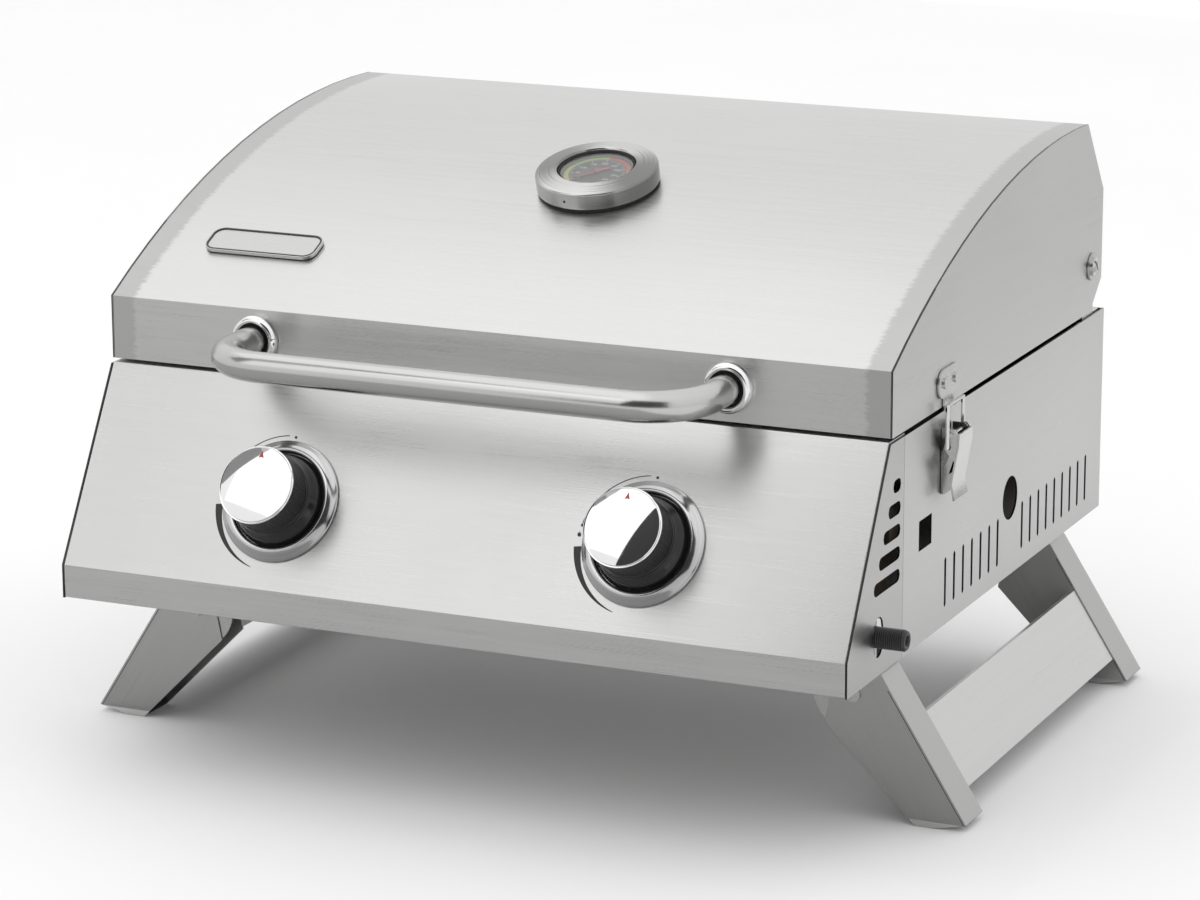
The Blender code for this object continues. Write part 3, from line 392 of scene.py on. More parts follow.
def blend(tree, factor, first, second_colour):
    """Goes from a socket's colour to a plain one as the factor goes to one."""
    mix = add(tree, "ShaderNodeMix", data_type="RGBA")
    mix.inputs[7].default_value = (*second_colour, 1)
    tree.links.new(factor, mix.inputs[0])
    tree.links.new(first, mix.inputs[6])
    return mix.outputs[2]


def turned_metal(name, colour, roughness, contrast=1.0, stretch=0.6, painted_sheen=0.0, painted_sheen_phase=0.4):
    """Metal with fine rings around its own +Z, as a lathe leaves them, and painted highlights and
    shade.

    painted_sheen: how strongly painted shade and painted highlights alternate twice around the
    piece.
    phase: where around the piece that starts, in radians.
    """
    look, tree, shader = material(name, metallic=1.0, anisotropic=stretch,
                                  anisotropic_rotation=0.25)
    place = add(tree, "ShaderNodeTexCoord")
    apart = add(tree, "ShaderNodeSeparateXYZ")
    flat = add(tree, "ShaderNodeCombineXYZ")
    reach = add(tree, "ShaderNodeVectorMath", operation="LENGTH")
    tree.links.new(place.outputs["Object"], apart.inputs[0])
    tree.links.new(apart.outputs[0], flat.inputs[0])
    tree.links.new(apart.outputs[1], flat.inputs[1])
    tree.links.new(flat.outputs[0], reach.inputs[0])
    rings_at = add(tree, "ShaderNodeCombineXYZ")
    tree.links.new(reach.outputs["Value"], rings_at.inputs[0])
    tree.links.new(apart.outputs[2], rings_at.inputs[1])
    rings = add(tree, "ShaderNodeTexNoise")
    rings.inputs["Scale"].default_value = RINGS_PER_METRE
    rings.inputs["Detail"].default_value = 3.0
    tree.links.new(rings_at.outputs[0], rings.inputs["Vector"])
    patch = noise(tree, 0.020, detail=4.0)
    ringed = between(tree, rings.outputs["Fac"], 0.40 - 0.2 * contrast, 0.60 + 0.2 * contrast)
    round_it = add(tree, "ShaderNodeTexGradient", gradient_type="RADIAL")
    tree.links.new(place.outputs["Object"], round_it.inputs[0])
    wave = add(tree, "ShaderNodeMath", operation="SINE")
    turns = between(tree, round_it.outputs["Fac"], painted_sheen_phase, 4 * math.pi + painted_sheen_phase, 0.0, 1.0)
    tree.links.new(turns, wave.inputs[0])
    # Painted light: the base colour turns darker and lighter twice around the piece, as painted
    # shade and painted highlights, and the ramp below widens with it.
    painted_sheen_tone = between(tree, wave.outputs[0], -painted_sheen, painted_sheen, -1.0, 1.0)
    darkest, clearest = 1 - 0.35 * (painted_sheen + 0.4), 1 + 0.60 * (painted_sheen + 0.2)
    tint = colours(tree, total(tree, ringed, painted_sheen_tone), (0.0, shade(colour, darkest)),
                   (0.5, colour), (1.0, shade(colour, clearest)))
    tree.links.new(tint, shader.inputs["Base Color"])
    dull = total(tree, between(tree, rings.outputs["Fac"], -0.06 * contrast, 0.06 * contrast),
                 between(tree, patch, roughness - 0.03, roughness + 0.04))
    tree.links.new(dull, shader.inputs["Roughness"])
    bump(tree, shader, rings.outputs["Fac"], 0.00003 * contrast, 0.7)
    tangent = add(tree, "ShaderNodeTangent", direction_type="RADIAL", axis="Z")
    tree.links.new(tangent.outputs[0], shader.inputs["Tangent"])
    return look


def polished(name, colour, roughness):
    """Plated metal with a faint haze and hairline wipe marks."""
    look, tree, shader = material(name, metallic=1.0)
    haze = noise(tree, 0.012, detail=5.0)
    wipe = noise(tree, (0.020, 0.0005, 0.0005), (15, 30, 40), 2.0)
    tint = colours(tree, haze, (0.3, shade(colour, 0.96)), (0.7, colour))
    tree.links.new(tint, shader.inputs["Base Color"])
    dull = total(tree, between(tree, haze, roughness * 0.6, roughness * 1.7),
                 between(tree, wipe, 0.0, 0.035, 0.55, 0.8))
    tree.links.new(dull, shader.inputs["Roughness"])
    bump(tree, shader, haze, 0.00002, 0.25)
    return look


def cast(name, colour, roughness, grain, depth, metallic=0.0, spread=0.25, warm=None, **more):
    """Painted, moulded, plated or fired surface: mottled colour over a fine grain."""
    look, tree, shader = material(name, metallic=metallic, **more)
    small, large = noise(tree, grain, detail=4.0), noise(tree, grain * 18, detail=3.0)
    tone = total(tree, between(tree, small, 0.0, 0.5), between(tree, large, 0.0, 0.5))
    stops = [(0.1, shade(colour, 1 - spread)), (0.9, shade(colour, 1 + spread))]
    if warm:
        stops.insert(1, (0.55, warm))
    tree.links.new(colours(tree, tone, *stops), shader.inputs["Base Color"])
    dull = total(tree, between(tree, small, -0.06, 0.06),
                 between(tree, large, roughness - 0.07, roughness + 0.07))
    tree.links.new(dull, shader.inputs["Roughness"])
    bump(tree, shader, small, depth, 0.8)
    return look


DIAL_COLOURS = ((0.15, (0.32, 0.48, 0.10)), (0.34, (0.55, 0.55, 0.10)), (0.48, (0.75, 0.42, 0.08)),
                (0.64, (0.70, 0.20, 0.05)), (0.85, (0.55, 0.06, 0.03)))


def dial_ring(name):
    """Printed ring whose colour runs clockwise from green through orange to red."""
    look, tree, shader = material(name, roughness=0.45)
    place = add(tree, "ShaderNodeTexCoord")
    turn = add(tree, "ShaderNodeMapping")
    turn.inputs["Rotation"].default_value = (0, 0, math.radians(90))
    round_it = add(tree, "ShaderNodeTexGradient", gradient_type="RADIAL")
    tree.links.new(place.outputs["Object"], turn.inputs["Vector"])
    tree.links.new(turn.outputs[0], round_it.inputs[0])
    print_grain = noise(tree, 0.0006)
    around = total(tree, round_it.outputs["Fac"], between(tree, print_grain, -0.01, 0.01))
    tree.links.new(colours(tree, around, *DIAL_COLOURS), shader.inputs["Base Color"])
    bump(tree, shader, print_grain, 0.00001, 0.4)
    return look


def lens(name):
    """Clear glass with faint smears."""
    look, tree, shader = material(name, roughness=0.02, transmission_weight=1.0, ior=1.45)
    smear = noise(tree, 0.015, detail=4.0)
    tree.links.new(between(tree, smear, 0.0, 0.06, 0.4, 0.8), shader.inputs["Roughness"])
    tree.links.new(colours(tree, smear, (0.2, (0.95, 0.97, 0.97)), (0.8, (1.0, 1.0, 1.0))),
                   shader.inputs["Base Color"])
    return look


STEEL, SATIN_STEEL = (0.60, 0.60, 0.595), (0.52, 0.52, 0.515)
LEG_LEAN = 57.7  # how far a leg's length is turned from X, in degrees
# A brushed look has a colour and a roughness, and then its grain; a turned one a contrast,
# stretch, strength of its painted highlights and shade, and where they start around it; a cast one
# a grain size, bump depth, metalness and colour spread.
LOOK = {
    # The lid's ends get painted shade.
    "lid": brushed("lid_steel_painted_end_shade", STEEL, 0.30, ends=0.2435),
    "panel": brushed("panel_brushed", STEEL, 0.30),
    # Side sheets and cheeks get painted shade on their cut edges and hole walls.
    "side": brushed("side_steel_painted_edge_shade", (0.56, 0.56, 0.555), 0.33, "y", painted_edge_shade=True),
    "cheek": brushed("cheek_steel_painted_edge_shade", (0.50, 0.50, 0.495), 0.33, "y", painted_edge_shade=True),
    # Right legs get a darker copy of the leg steel and left legs a lighter one: painted shade and
    # painted light.
    "leg_right": brushed("right_leg_painted_shade", (0.46, 0.46, 0.455), 0.34, (0, LEG_LEAN, 0)),
    "leg_left": brushed("left_leg_painted_light", (0.56, 0.56, 0.555), 0.34, (0, -LEG_LEAN, 0)),
    "leg_panel": brushed("leg_panel_brushed", STEEL, 0.32, "y"),
    "handle": brushed("handle_satin", SATIN_STEEL, 0.20, contrast=0.8, stretch=0.0),
    # Its colour gets painted darker and lighter twice around it: painted highlights and shade.
    "gauge": turned_metal("gauge_rings_painted_sheen", (0.35, 0.35, 0.345), 0.20, 1.4, 0.8, 0.75, -1.2),
    "badge": brushed("badge_brushed", SATIN_STEEL, 0.28),
    # Its colour gets painted darker and lighter twice around it: painted highlights and shade.
    "bezel": turned_metal("bezel_rings_painted_sheen", (0.46, 0.46, 0.46), 0.13, 0.7, 0.3, 0.35),
    "chrome": polished("chrome_polished", (0.82, 0.82, 0.82), 0.03),
    "plated": cast("plated_steel", (0.58, 0.58, 0.57), 0.24, 0.0011, 0.00002, 1.0, 0.14),
    "dark_steel": cast("heated_steel", (0.085, 0.080, 0.076), 0.45, 0.0030, 0.00003, 1.0, 0.35,
                       (0.110, 0.088, 0.068)),
    "lever": cast("latch_lever", (0.58, 0.58, 0.57), 0.18, 0.0011, 0.00002, 1.0, 0.14),
    # The latch base is a much darker copy of the latch's plated steel: painted shade.
    "latch_base_painted_shade": cast("latch_base_painted_shade", (0.24, 0.24, 0.235), 0.24, 0.0011, 0.00002, 1.0, 0.18),
    "wire": cast("latch_wire", (0.62, 0.62, 0.61), 0.14, 0.0008, 0.00001, 1.0, 0.12),
    "brass": turned_metal("brass_turned", (0.72, 0.54, 0.25), 0.26),
    "enamel": cast("black_enamel", (0.022, 0.022, 0.023), 0.22, 0.0022, 0.00006, 0.0, 0.4),
    "grip": cast("knob_grip", (0.012, 0.012, 0.013), 0.42, 0.0005, 0.00008, 0.0, 0.45),
    "skirt": cast("knob_skirt", (0.010, 0.010, 0.011), 0.14, 0.0012, 0.00001, 0.0, 0.4),
    "thread": cast("black_thread", (0.018, 0.018, 0.018), 0.35, 0.0008, 0.00003, 0.2, 0.5),
    "rubber": cast("black_rubber", (0.010, 0.010, 0.010), 0.75, 0.0005, 0.00004, 0.0, 0.4),
    "ink": cast("black_ink", (0.014, 0.014, 0.014), 0.40, 0.0006, 0.00001, 0.0, 0.4),
    "dial": cast("dial_face", (0.030, 0.030, 0.032), 0.40, 0.0007, 0.00001, 0.0, 0.3),
    "dial_wall": cast("dial_wall", (0.30, 0.30, 0.30), 0.45, 0.0008, 0.00001, 0.8, 0.2),
    "white_ink": cast("white_ink", (0.75, 0.75, 0.72), 0.45, 0.0004, 0.00001, 0.0, 0.12),
    "red": cast("red_lacquer", (0.42, 0.035, 0.03), 0.30, 0.0008, 0.00001, 0.0, 0.25),
    "ceramic": cast("glazed_ceramic", (0.78, 0.76, 0.70), 0.18, 0.0012, 0.00001, 0.0, 0.08),
    "ring": dial_ring("dial_ring"),
    "lens": lens("lens_glass"),
}

# Look of the CAD nodes whose names start like this.
NODE_LOOKS = {
    "lid_skin": "lid", "lid_rear": "lid", "control_panel": "panel", "back_panel": "panel",
    "drip_tray": "panel", "lid_side": "side", "side_panel": "side", "cheek": "cheek",
    "leg_panel": "leg_panel", "fire_box": "dark_steel", "flame_tamer": "dark_steel",
    "burner": "dark_steel", "valve": "brass", "electrode": "ceramic", "gas_manifold": "plated",
    "hinge": "plated", "latch_lever": "lever", "latch_base": "latch_base_painted_shade", "latch_bail": "wire",
    "strike": "plated", "leg_bracket": "plated", "tray_guide": "plated",
    "thermometer_dial": "dial", "thermometer_gasket": "rubber", "thermometer_glass": "lens",
    "thermometer_needle": "red",
}


JOIN_WITHIN, FOLD_ANGLE, CORNER_ANGLE = 0.00001, 28, 40  # metres, and degrees


def soften(obj, width, segments=3):
    """Rounds an object's corners."""
    edge = obj.modifiers.new("rounded_edges", "BEVEL")
    edge.width = width
    edge.segments = segments
    edge.limit_method = "ANGLE"
    edge.angle_limit = math.radians(CORNER_ANGLE)
    edge.harden_normals = True


def crisp_group():
    """Modifier: joins a sheet's faces and smooths them over all but its folds."""
    group = bpy.data.node_groups.new("crisp_edges", "GeometryNodeTree")
    group.interface.new_socket("Geometry", in_out="INPUT", socket_type="NodeSocketGeometry")
    group.interface.new_socket("Geometry", in_out="OUTPUT", socket_type="NodeSocketGeometry")
    start, end = add(group, "NodeGroupInput"), add(group, "NodeGroupOutput")
    merge = add(group, "GeometryNodeMergeByDistance")
    merge.inputs["Distance"].default_value = JOIN_WITHIN
    plain = add(group, "GeometryNodeRemoveAttribute")
    plain.inputs["Name"].default_value = "custom_normal"
    smooth = add(group, "GeometryNodeSetShadeSmooth", domain="FACE")
    split = add(group, "GeometryNodeSetShadeSmooth", domain="EDGE")
    split.inputs["Shade Smooth"].default_value = False
    angle = add(group, "GeometryNodeInputMeshEdgeAngle")
    fold = add(group, "FunctionNodeCompare", data_type="FLOAT", operation="GREATER_THAN")
    fold.inputs["B"].default_value = math.radians(FOLD_ANGLE)
    chain = (start, merge, plain, smooth, split, end)
    for a, b in zip(chain, chain[1:]):
        group.links.new(a.outputs[0], b.inputs[0])
    group.links.new(angle.outputs["Unsigned Angle"], fold.inputs["A"])
    group.links.new(fold.outputs["Result"], split.inputs["Selection"])
    return group


CRISP = crisp_group()
# Width of the rounding on the edges of the nodes whose names start like this.
ROUNDED = {"lid_skin": 0.0004, "lid_rear": 0.0004, "lid_side": 0.0002, "control": 0.0005,
           "leg": 0.0004, "back": 0.0002, "drip": 0.0003, "strike": 0.0003, "latch_lever": 0.0003,
           "latch_base": 0.0003, "tray": 0.0003, "hinge": 0.0002}


def finish_nodes():
    """Gives the CAD's own nodes their materials and edges."""
    for name, node in NODES.items():
        for prefix, look in NODE_LOOKS.items():
            if name.startswith(prefix):
                for holder in node.material_slots:
                    holder.material = LOOK[look]
        crisp = node.modifiers.new("crisp", "NODES")
        crisp.node_group = CRISP
        width = next((w for prefix, w in ROUNDED.items() if name.startswith(prefix)), None)
        if width:
            soften(node, width, 2)
    for name, side in SIDES:
        for node in (f"leg_front_{name}", f"leg_rear_{name}"):
            # Left legs get the lighter copy of the leg steel and right legs the darker one:
            # painted light and shade.
            NODES[node].material_slots[0].material = LOOK[f"leg_{name}"]
            leg_seam(node, name, side)


# Outer edge of a right leg's strip in X and Z, and the seam's place and half width beside it.
STRIP_TOP, STRIP_FOOT = (0.2480, 0.0831), (0.2972, 0.0052)
SEAM_INSET, SEAM_HALF = 0.0016, 0.00022
INK_LOW, INK_HIGH = -0.0002, 0.00006  # printed marks reach from in the sheet to just over it


def leg_seam(node, name, side):
    """Dark line where the leg's outer strip is folded onto its front."""
    low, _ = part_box(node)
    top, foot = Vector(STRIP_TOP), Vector(STRIP_FOOT)
    along = (foot - top).normalized()
    inward = Vector((along.y, -along.x))
    near, far = inward * (SEAM_INSET - SEAM_HALF), inward * (SEAM_INSET + SEAM_HALF)
    outline = [top + near, foot + near, foot + far, top + far]
    seam = prism_mesh("seam", [[(side * u, v) for u, v in outline]], INK_LOW, INK_HIGH)
    place = seat((0, low.y, 0), (0, -1, 0))
    piece(f"{node}_seam", seam, place, f"leg_frame_{name}", LOOK["ink"])


# ---------------------------------------------------------------- knobs
# Heights are over the control panel, and profiles are (radius, height) pairs.
GRIP_TOP, GRIP_FOOT, GRIP_RADIUS = 0.0340, 0.0165, 0.0241
FLUTES, FLUTE_DEPTH, FLUTE_END = 72, 0.00030, 0.0006
STEM_RADIUS, STEM_END = 0.0040, -0.0220
SKIRT = [(0.0060, 0.0163), (0.0240, 0.0163), (0.0247, 0.0158), (0.0245, 0.0146),
         (0.0254, 0.0122), (0.0276, 0.0084), (0.0284, 0.0062), (0.0284, 0.0042),
         (0.0276, 0.0040), (0.0060, 0.0040)]
CROWN_RADIUS, CROWN_HEIGHT, CROWN_FALL = 0.0232, 0.0386, 0.0021
CAP_RIM = [(0.0234, 0.0362), (0.0236, 0.0360), (0.0239, 0.0362), (0.0243, 0.0362),
           (0.0246, 0.0359), (0.0246, 0.0347), (0.0244, 0.0343), (0.0, 0.0343)]
POINTER_TIP, POINTER_FOOT, POINTER_NOTCH, POINTER_HALF = 0.0212, 0.0166, 0.0006, 0.0017
POINTER_PROUD, POINTER_THICK = 0.00012, 0.00025
BEZEL = [(0.0300, 0.0034), (0.0304, 0.0050), (0.0316, 0.0057), (0.0332, 0.0056),
         (0.0352, 0.0045), (0.0374, 0.0026), (0.0386, 0.0018), (0.0386, 0.0003),
         (0.0306, 0.0003)]
WELL = [(0.0052, 0.0008), (0.0298, 0.0008), (0.0298, 0.0003), (0.0052, 0.0003)]


def flute(radius, height, angle):
    """Fine ribs around the grip only."""
    if not GRIP_FOOT < height < GRIP_TOP - FLUTE_END or radius < GRIP_RADIUS - FLUTE_END:
        return radius
    return radius - FLUTE_DEPTH * (0.5 - 0.5 * math.cos(FLUTES * angle)) ** 2


def dome(radius):
    """Height of the cap's domed top over the control panel."""
    return CROWN_HEIGHT - CROWN_FALL * (radius / CROWN_RADIUS) ** 2


def knob(name):
    """Fluted grip, skirt, domed cap and pointer that turn, in a bezel that stays."""
    turn = JOINTS[f"knob_{name}_turn"]
    place, body = seat(turn["pos_m"], turn["axis"]), f"knob_{name}"

    rows = [(GRIP_RADIUS, GRIP_TOP - 0.0007 - k * (GRIP_TOP - GRIP_FOOT - 0.0008) / 8)
            for k in range(9)]
    profile = [(0.0, GRIP_TOP), (0.0236, GRIP_TOP), *rows, (GRIP_RADIUS - 0.0004, GRIP_FOOT),
               (STEM_RADIUS, GRIP_FOOT), (STEM_RADIUS, STEM_END), (0.0, STEM_END)]
    piece(f"knob_grip_{name}", lathe_mesh("grip", profile, 432, ripple=flute), place, body,
          LOOK["grip"], [f"knob_body_{name}"], 50)
    skirt = fillet(SKIRT, 0.0010, closed=True)
    piece(f"knob_skirt_{name}", lathe_mesh("skirt", skirt, 144, closed=True), place, body,
          LOOK["skirt"], (), 50)

    crown = [(r, dome(r)) for r in (k * CROWN_RADIUS / 16 for k in range(17))]
    piece(f"knob_dome_{name}", lathe_mesh("dome", crown + CAP_RIM, 128), place, body,
          LOOK["chrome"], [f"knob_cap_{name}"], 40)

    outline = [(0.0, POINTER_TIP), (-POINTER_HALF, POINTER_FOOT),
               (0.0, POINTER_FOOT + POINTER_NOTCH), (POINTER_HALF, POINTER_FOOT)]
    top = [(u, v, dome(math.hypot(u, v)) + POINTER_PROUD) for u, v in outline]
    low = [(u, v, h - POINTER_THICK) for u, v, h in top]
    faces = [(0, 1, 2), (0, 2, 3), (4, 6, 5), (4, 7, 6)]
    faces += [(i, (i + 1) % 4, 4 + (i + 1) % 4, 4 + i) for i in range(4)]
    piece(f"knob_pointer_{name}", mesh_from("pointer", top + low, faces), place, body, LOOK["red"])

    ring = fillet(BEZEL, 0.0008, closed=True)
    piece(f"bezel_{name}", lathe_mesh("bezel", ring, 144, closed=True), place, "base",
          LOOK["bezel"], [f"knob_bezel_{name}"], 40)
    piece(f"knob_well_{name}", lathe_mesh("well", WELL, 96, closed=True), place, "base",
          LOOK["rubber"])
    knob_marks(name, place)


# A flame's outline, one unit wide, and the (angle, size) of the two around the knob.
FLAME = [(0, -0.5), (0.38, -0.32), (0.42, 0.05), (0.22, 0.42), (0.16, 0.12), (0.02, 0.75),
         (-0.20, 0.25), (-0.30, 0.48), (-0.44, 0.0), (-0.34, -0.34)]
FLAMES, FLAMES_AT = ((170, 0.0020), (178, 0.0028)), 0.0418


def knob_marks(name, place):
    """Printed scale: off dot, thin arc, a small and a large flame, and a tapering band."""
    low, high = -0.0001, INK_HIGH
    dot = prism_mesh("dot", [arc((0, 0.0412), 0.00085, 0, 345, 23)], low, high)
    thin = band_mesh("thin", 0.04185, 0.04235, 96, 168, 40, low, high)
    band = band_mesh("band", (0.0392, 0.0437), (0.0440, 0.0441), 188, 256, 48, low, high)
    flames = []
    for angle, size in FLAMES:
        a = math.radians(angle)
        centre = (FLAMES_AT * math.cos(a), FLAMES_AT * math.sin(a))
        flames.append([(centre[0] + size * u, centre[1] + size * v) for u, v in FLAME])
    parts = [(m, HERE) for m in (dot, thin, band, prism_mesh("flames", flames, low, high))]
    piece(f"knob_marks_{name}", joined("marks", parts), place, "base", LOOK["ink"])


# ---------------------------------------------------------------- lid
HANDLE_BEND = 0.038
FERRULE_RIM, FERRULE_SHOULDER, FERRULE_GAP = 0.0155, 0.0138, 0.0012


def handle():
    """Bent tube with its ferrules and the dark seals in them."""
    low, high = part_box("handle")
    radius, bend = (high.z - low.z) / 2, HANDLE_BEND
    half, level, reach = high.x - radius, (low.z + high.z) / 2, low.y + radius
    corner = (half - bend, reach + bend)
    left = arc((-corner[0], corner[1]), bend, 180, 270, 28)
    right = arc(corner, bend, 270, 360, 28)
    path = [(-half, high.y), *left, *right, (half, high.y)]
    tube = curve_mesh("handle_tube", [[(x, y, level) for x, y in path]], radius, 12)
    piece("handle_tube", tube, HERE, "lid", LOOK["handle"], ["handle"],
          50)
    for name, side in SIDES:
        place = upright((0, -1, 0), (side * half, high.y, level))
        bore = radius + FERRULE_GAP
        ring = [(bore, 0.0046), (bore + 0.0012, 0.0062), (FERRULE_SHOULDER, 0.0058),
                (FERRULE_RIM, 0.0034), (FERRULE_RIM, 0.0), (bore, 0.0)]
        ring = fillet(ring, 0.0009, closed=True)
        piece(f"ferrule_{name}", lathe_mesh("ferrule", ring, 96, closed=True), place, "lid",
              LOOK["chrome"], [f"handle_ferrule_{name}"], 45)
        gap = [(radius + 0.0001, 0.0034), (bore - 0.0001, 0.0034), (bore - 0.0001, 0.0002),
               (radius + 0.0001, 0.0002)]
        piece(f"ferrule_seal_{name}", lathe_mesh("seal", gap, 64, closed=True), place, "lid",
              LOOK["rubber"])


# Heights are over the lid, and the needle's joint is NEEDLE_LIFT over it.
NEEDLE_LIFT, DIAL_FACE, DIAL_INK = 0.0091, 0.0083, 0.00005
HOUSING = [(0.0, 0.0070), (0.0246, 0.0070), (0.0246, 0.0132), (0.0254, 0.0143), (0.0262, 0.0144),
           (0.0374, 0.0128), (0.0386, 0.0122), (0.0390, 0.0112), (0.0390, 0.0024),
           (0.0386, 0.0016), (0.0040, 0.0016), (0.0040, -0.0018), (0.0080, -0.0018),
           (0.0080, -0.0060), (0.0030, -0.0060), (0.0030, -0.0350), (0.0022, -0.0360),
           (0.0, -0.0360)]
DIAL_WALL = [(0.0230, 0.0083), (0.0243, 0.0083), (0.0243, 0.0105), (0.0236, 0.0105)]
LENS_SEAL = [(0.0228, 0.0119), (0.0245, 0.0119), (0.0245, 0.0129), (0.0238, 0.0131)]
VENT = [(0, 0.00016), (0.0009, 0.00016), (0.0009, -0.0008), (0, -0.0008)]
VENT_TURN, VENT_AT = -99, (0.0389, 0, 0.0066)
HUB = [(0, 0.0103), (0.0016, 0.0103), (0.0024, 0.0095), (0.0024, 0.00945), (0, 0.00945)]
# Angles and radii of the printed scale.
SCALE_START, SCALE_SWEEP = 225.0, -270.0
RING_INNER, RING_OUTER = 0.0182, 0.0213
TICKS, TICKS_PER_NUMBER, TICK_OUTER = 40, 5, 0.0176
LONG_TICK, SHORT_TICK = (0.0150, 0.00022), (0.0162, 0.00011)  # inner end and half width
NUMBER_STEP, NUMBER_SIZE, NUMBERS_AT = 50, 0.0030, 0.0126


def gauge():
    """Thermometer: housing, dial and needle hub."""
    turn = JOINTS["needle_turn"]
    out = -Vector(turn["axis"]).normalized()
    place = seat(Vector(turn["pos_m"]) - out * NEEDLE_LIFT, out)

    piece("gauge_housing", lathe_mesh("housing", fillet(HOUSING, 0.0005), 160), place, "lid",
          LOOK["gauge"], ["thermometer_housing"], 40)
    piece("gauge_wall", lathe_mesh("wall", DIAL_WALL, 96, closed=True), place, "lid",
          LOOK["dial_wall"])
    seal = fillet(LENS_SEAL, 0.0004, closed=True)
    piece("gauge_seal", lathe_mesh("seal", seal, 96, closed=True), place, "lid", LOOK["rubber"])
    vent = Matrix.Rotation(math.radians(VENT_TURN), 4, "Z") @ upright((1, 0, 0), VENT_AT)
    piece("gauge_vent", lathe_mesh("vent", VENT, 24), place @ vent, "lid", LOOK["ink"])

    low, high = DIAL_FACE - 0.0001, DIAL_FACE + DIAL_INK
    ring = band_mesh("dial_ring", RING_INNER, RING_OUTER, SCALE_START, SCALE_START + SCALE_SWEEP,
                     120, low, high)
    piece("dial_ring", ring, place, "lid", LOOK["ring"])
    ticks, numbers = [], []
    for k in range(TICKS + 1):
        a = math.radians(SCALE_START + SCALE_SWEEP * k / TICKS)
        inner, half = SHORT_TICK if k % TICKS_PER_NUMBER else LONG_TICK
        along, across = Vector((math.cos(a), math.sin(a))), Vector((-math.sin(a), math.cos(a)))
        ticks.append([tuple(r * along + s * across) for r, s in
                      ((inner, -half), (TICK_OUTER, -half), (TICK_OUTER, half), (inner, half))])
        if k % TICKS_PER_NUMBER == 0:
            text = bpy.data.curves.new("number", "FONT")
            text.body = str(NUMBER_STEP * k // TICKS_PER_NUMBER)
            text.size, text.extrude = NUMBER_SIZE, DIAL_INK / 2
            text.align_x, text.align_y = "CENTER", "CENTER"
            spot = (*(NUMBERS_AT * along), DIAL_FACE + DIAL_INK / 2)
            numbers.append((mesh_of("number", text), Matrix.Translation(spot)))
    scale = joined("dial_scale", [(prism_mesh("ticks", ticks, low, high), HERE), *numbers])
    piece("dial_scale", scale, place, "lid", LOOK["white_ink"])
    piece("needle_hub", lathe_mesh("hub", fillet(HUB, 0.0004), 48), place, "needle", LOOK["red"])


BADGE = (0.0390, 0.0120, 0.0080)  # half width, half height and corner radius
BADGE_BORDER_HIGH, BADGE_INSET = 0.0009, 0.0020


def inset(size, by):
    """Size of a rounded rectangle, its corner radius last, moved inwards."""
    return [length - by for length in size]


def badge():
    """Blank plate: dark raised border around a satin field."""
    node = NODES["badge"].data
    flat = max(node.polygons, key=lambda face: face.area * (face.normal.z > 0.5))
    place = seat(middle("badge"), flat.normal)
    heights = [(place.inverted() @ v.co).z for v in node.vertices]
    low, high = min(heights), max(heights)
    step = high - BADGE_BORDER_HIGH
    body = prism_mesh("plate", [round_rect(*BADGE)], low, step)
    plate = piece("badge_plate", body, place, "lid", LOOK["plated"], ["badge"])
    soften(plate, 0.0005)
    border = rim_mesh("border", BADGE, 0.0007, 0.0019, step, high)
    soften(piece("badge_border", border, place, "lid", LOOK["dial"]), 0.0003)
    edge = rim_mesh("edge", BADGE, 0.0, 0.0008, step - 0.0001, high - 0.0002)
    soften(piece("badge_edge", edge, place, "lid", LOOK["badge"]), 0.0002)
    field = prism_mesh("field", [round_rect(*inset(BADGE, BADGE_INSET))],
                       step - 0.0001, step + 0.00025)
    piece("badge_field", field, place, "lid", LOOK["badge"])


def rim_mesh(name, size, start, end, low, high):
    """Frame between two insets of a rounded rectangle."""
    loops = [round_rect(*inset(size, by)) for by in (start, end)]
    n = len(loops[0])
    points = [(u, v, h) for h in (low, high) for loop in loops for u, v in loop]
    faces = []
    for a, b in FACETS:
        faces += [(a * n + k, a * n + (k + 1) % n, b * n + (k + 1) % n, b * n + k)
                  for k in range(n)]
    return mesh_from(name, points, faces)


# ---------------------------------------------------------------- body
# Profile is plain up to THREAD_START, and the bore is open at the far end.
THREAD_RADIUS, THREAD_ROOT, THREAD_DEPTH, THREAD_PITCH = 0.00658, 0.0058, 0.00070, 0.001337
THREAD_START, STEPS_PER_PITCH = 0.0085, 8
HEXAGON_RADIUS, HEXAGON_LOW, HEXAGON_HIGH = 0.0100, 0.0002, 0.0080


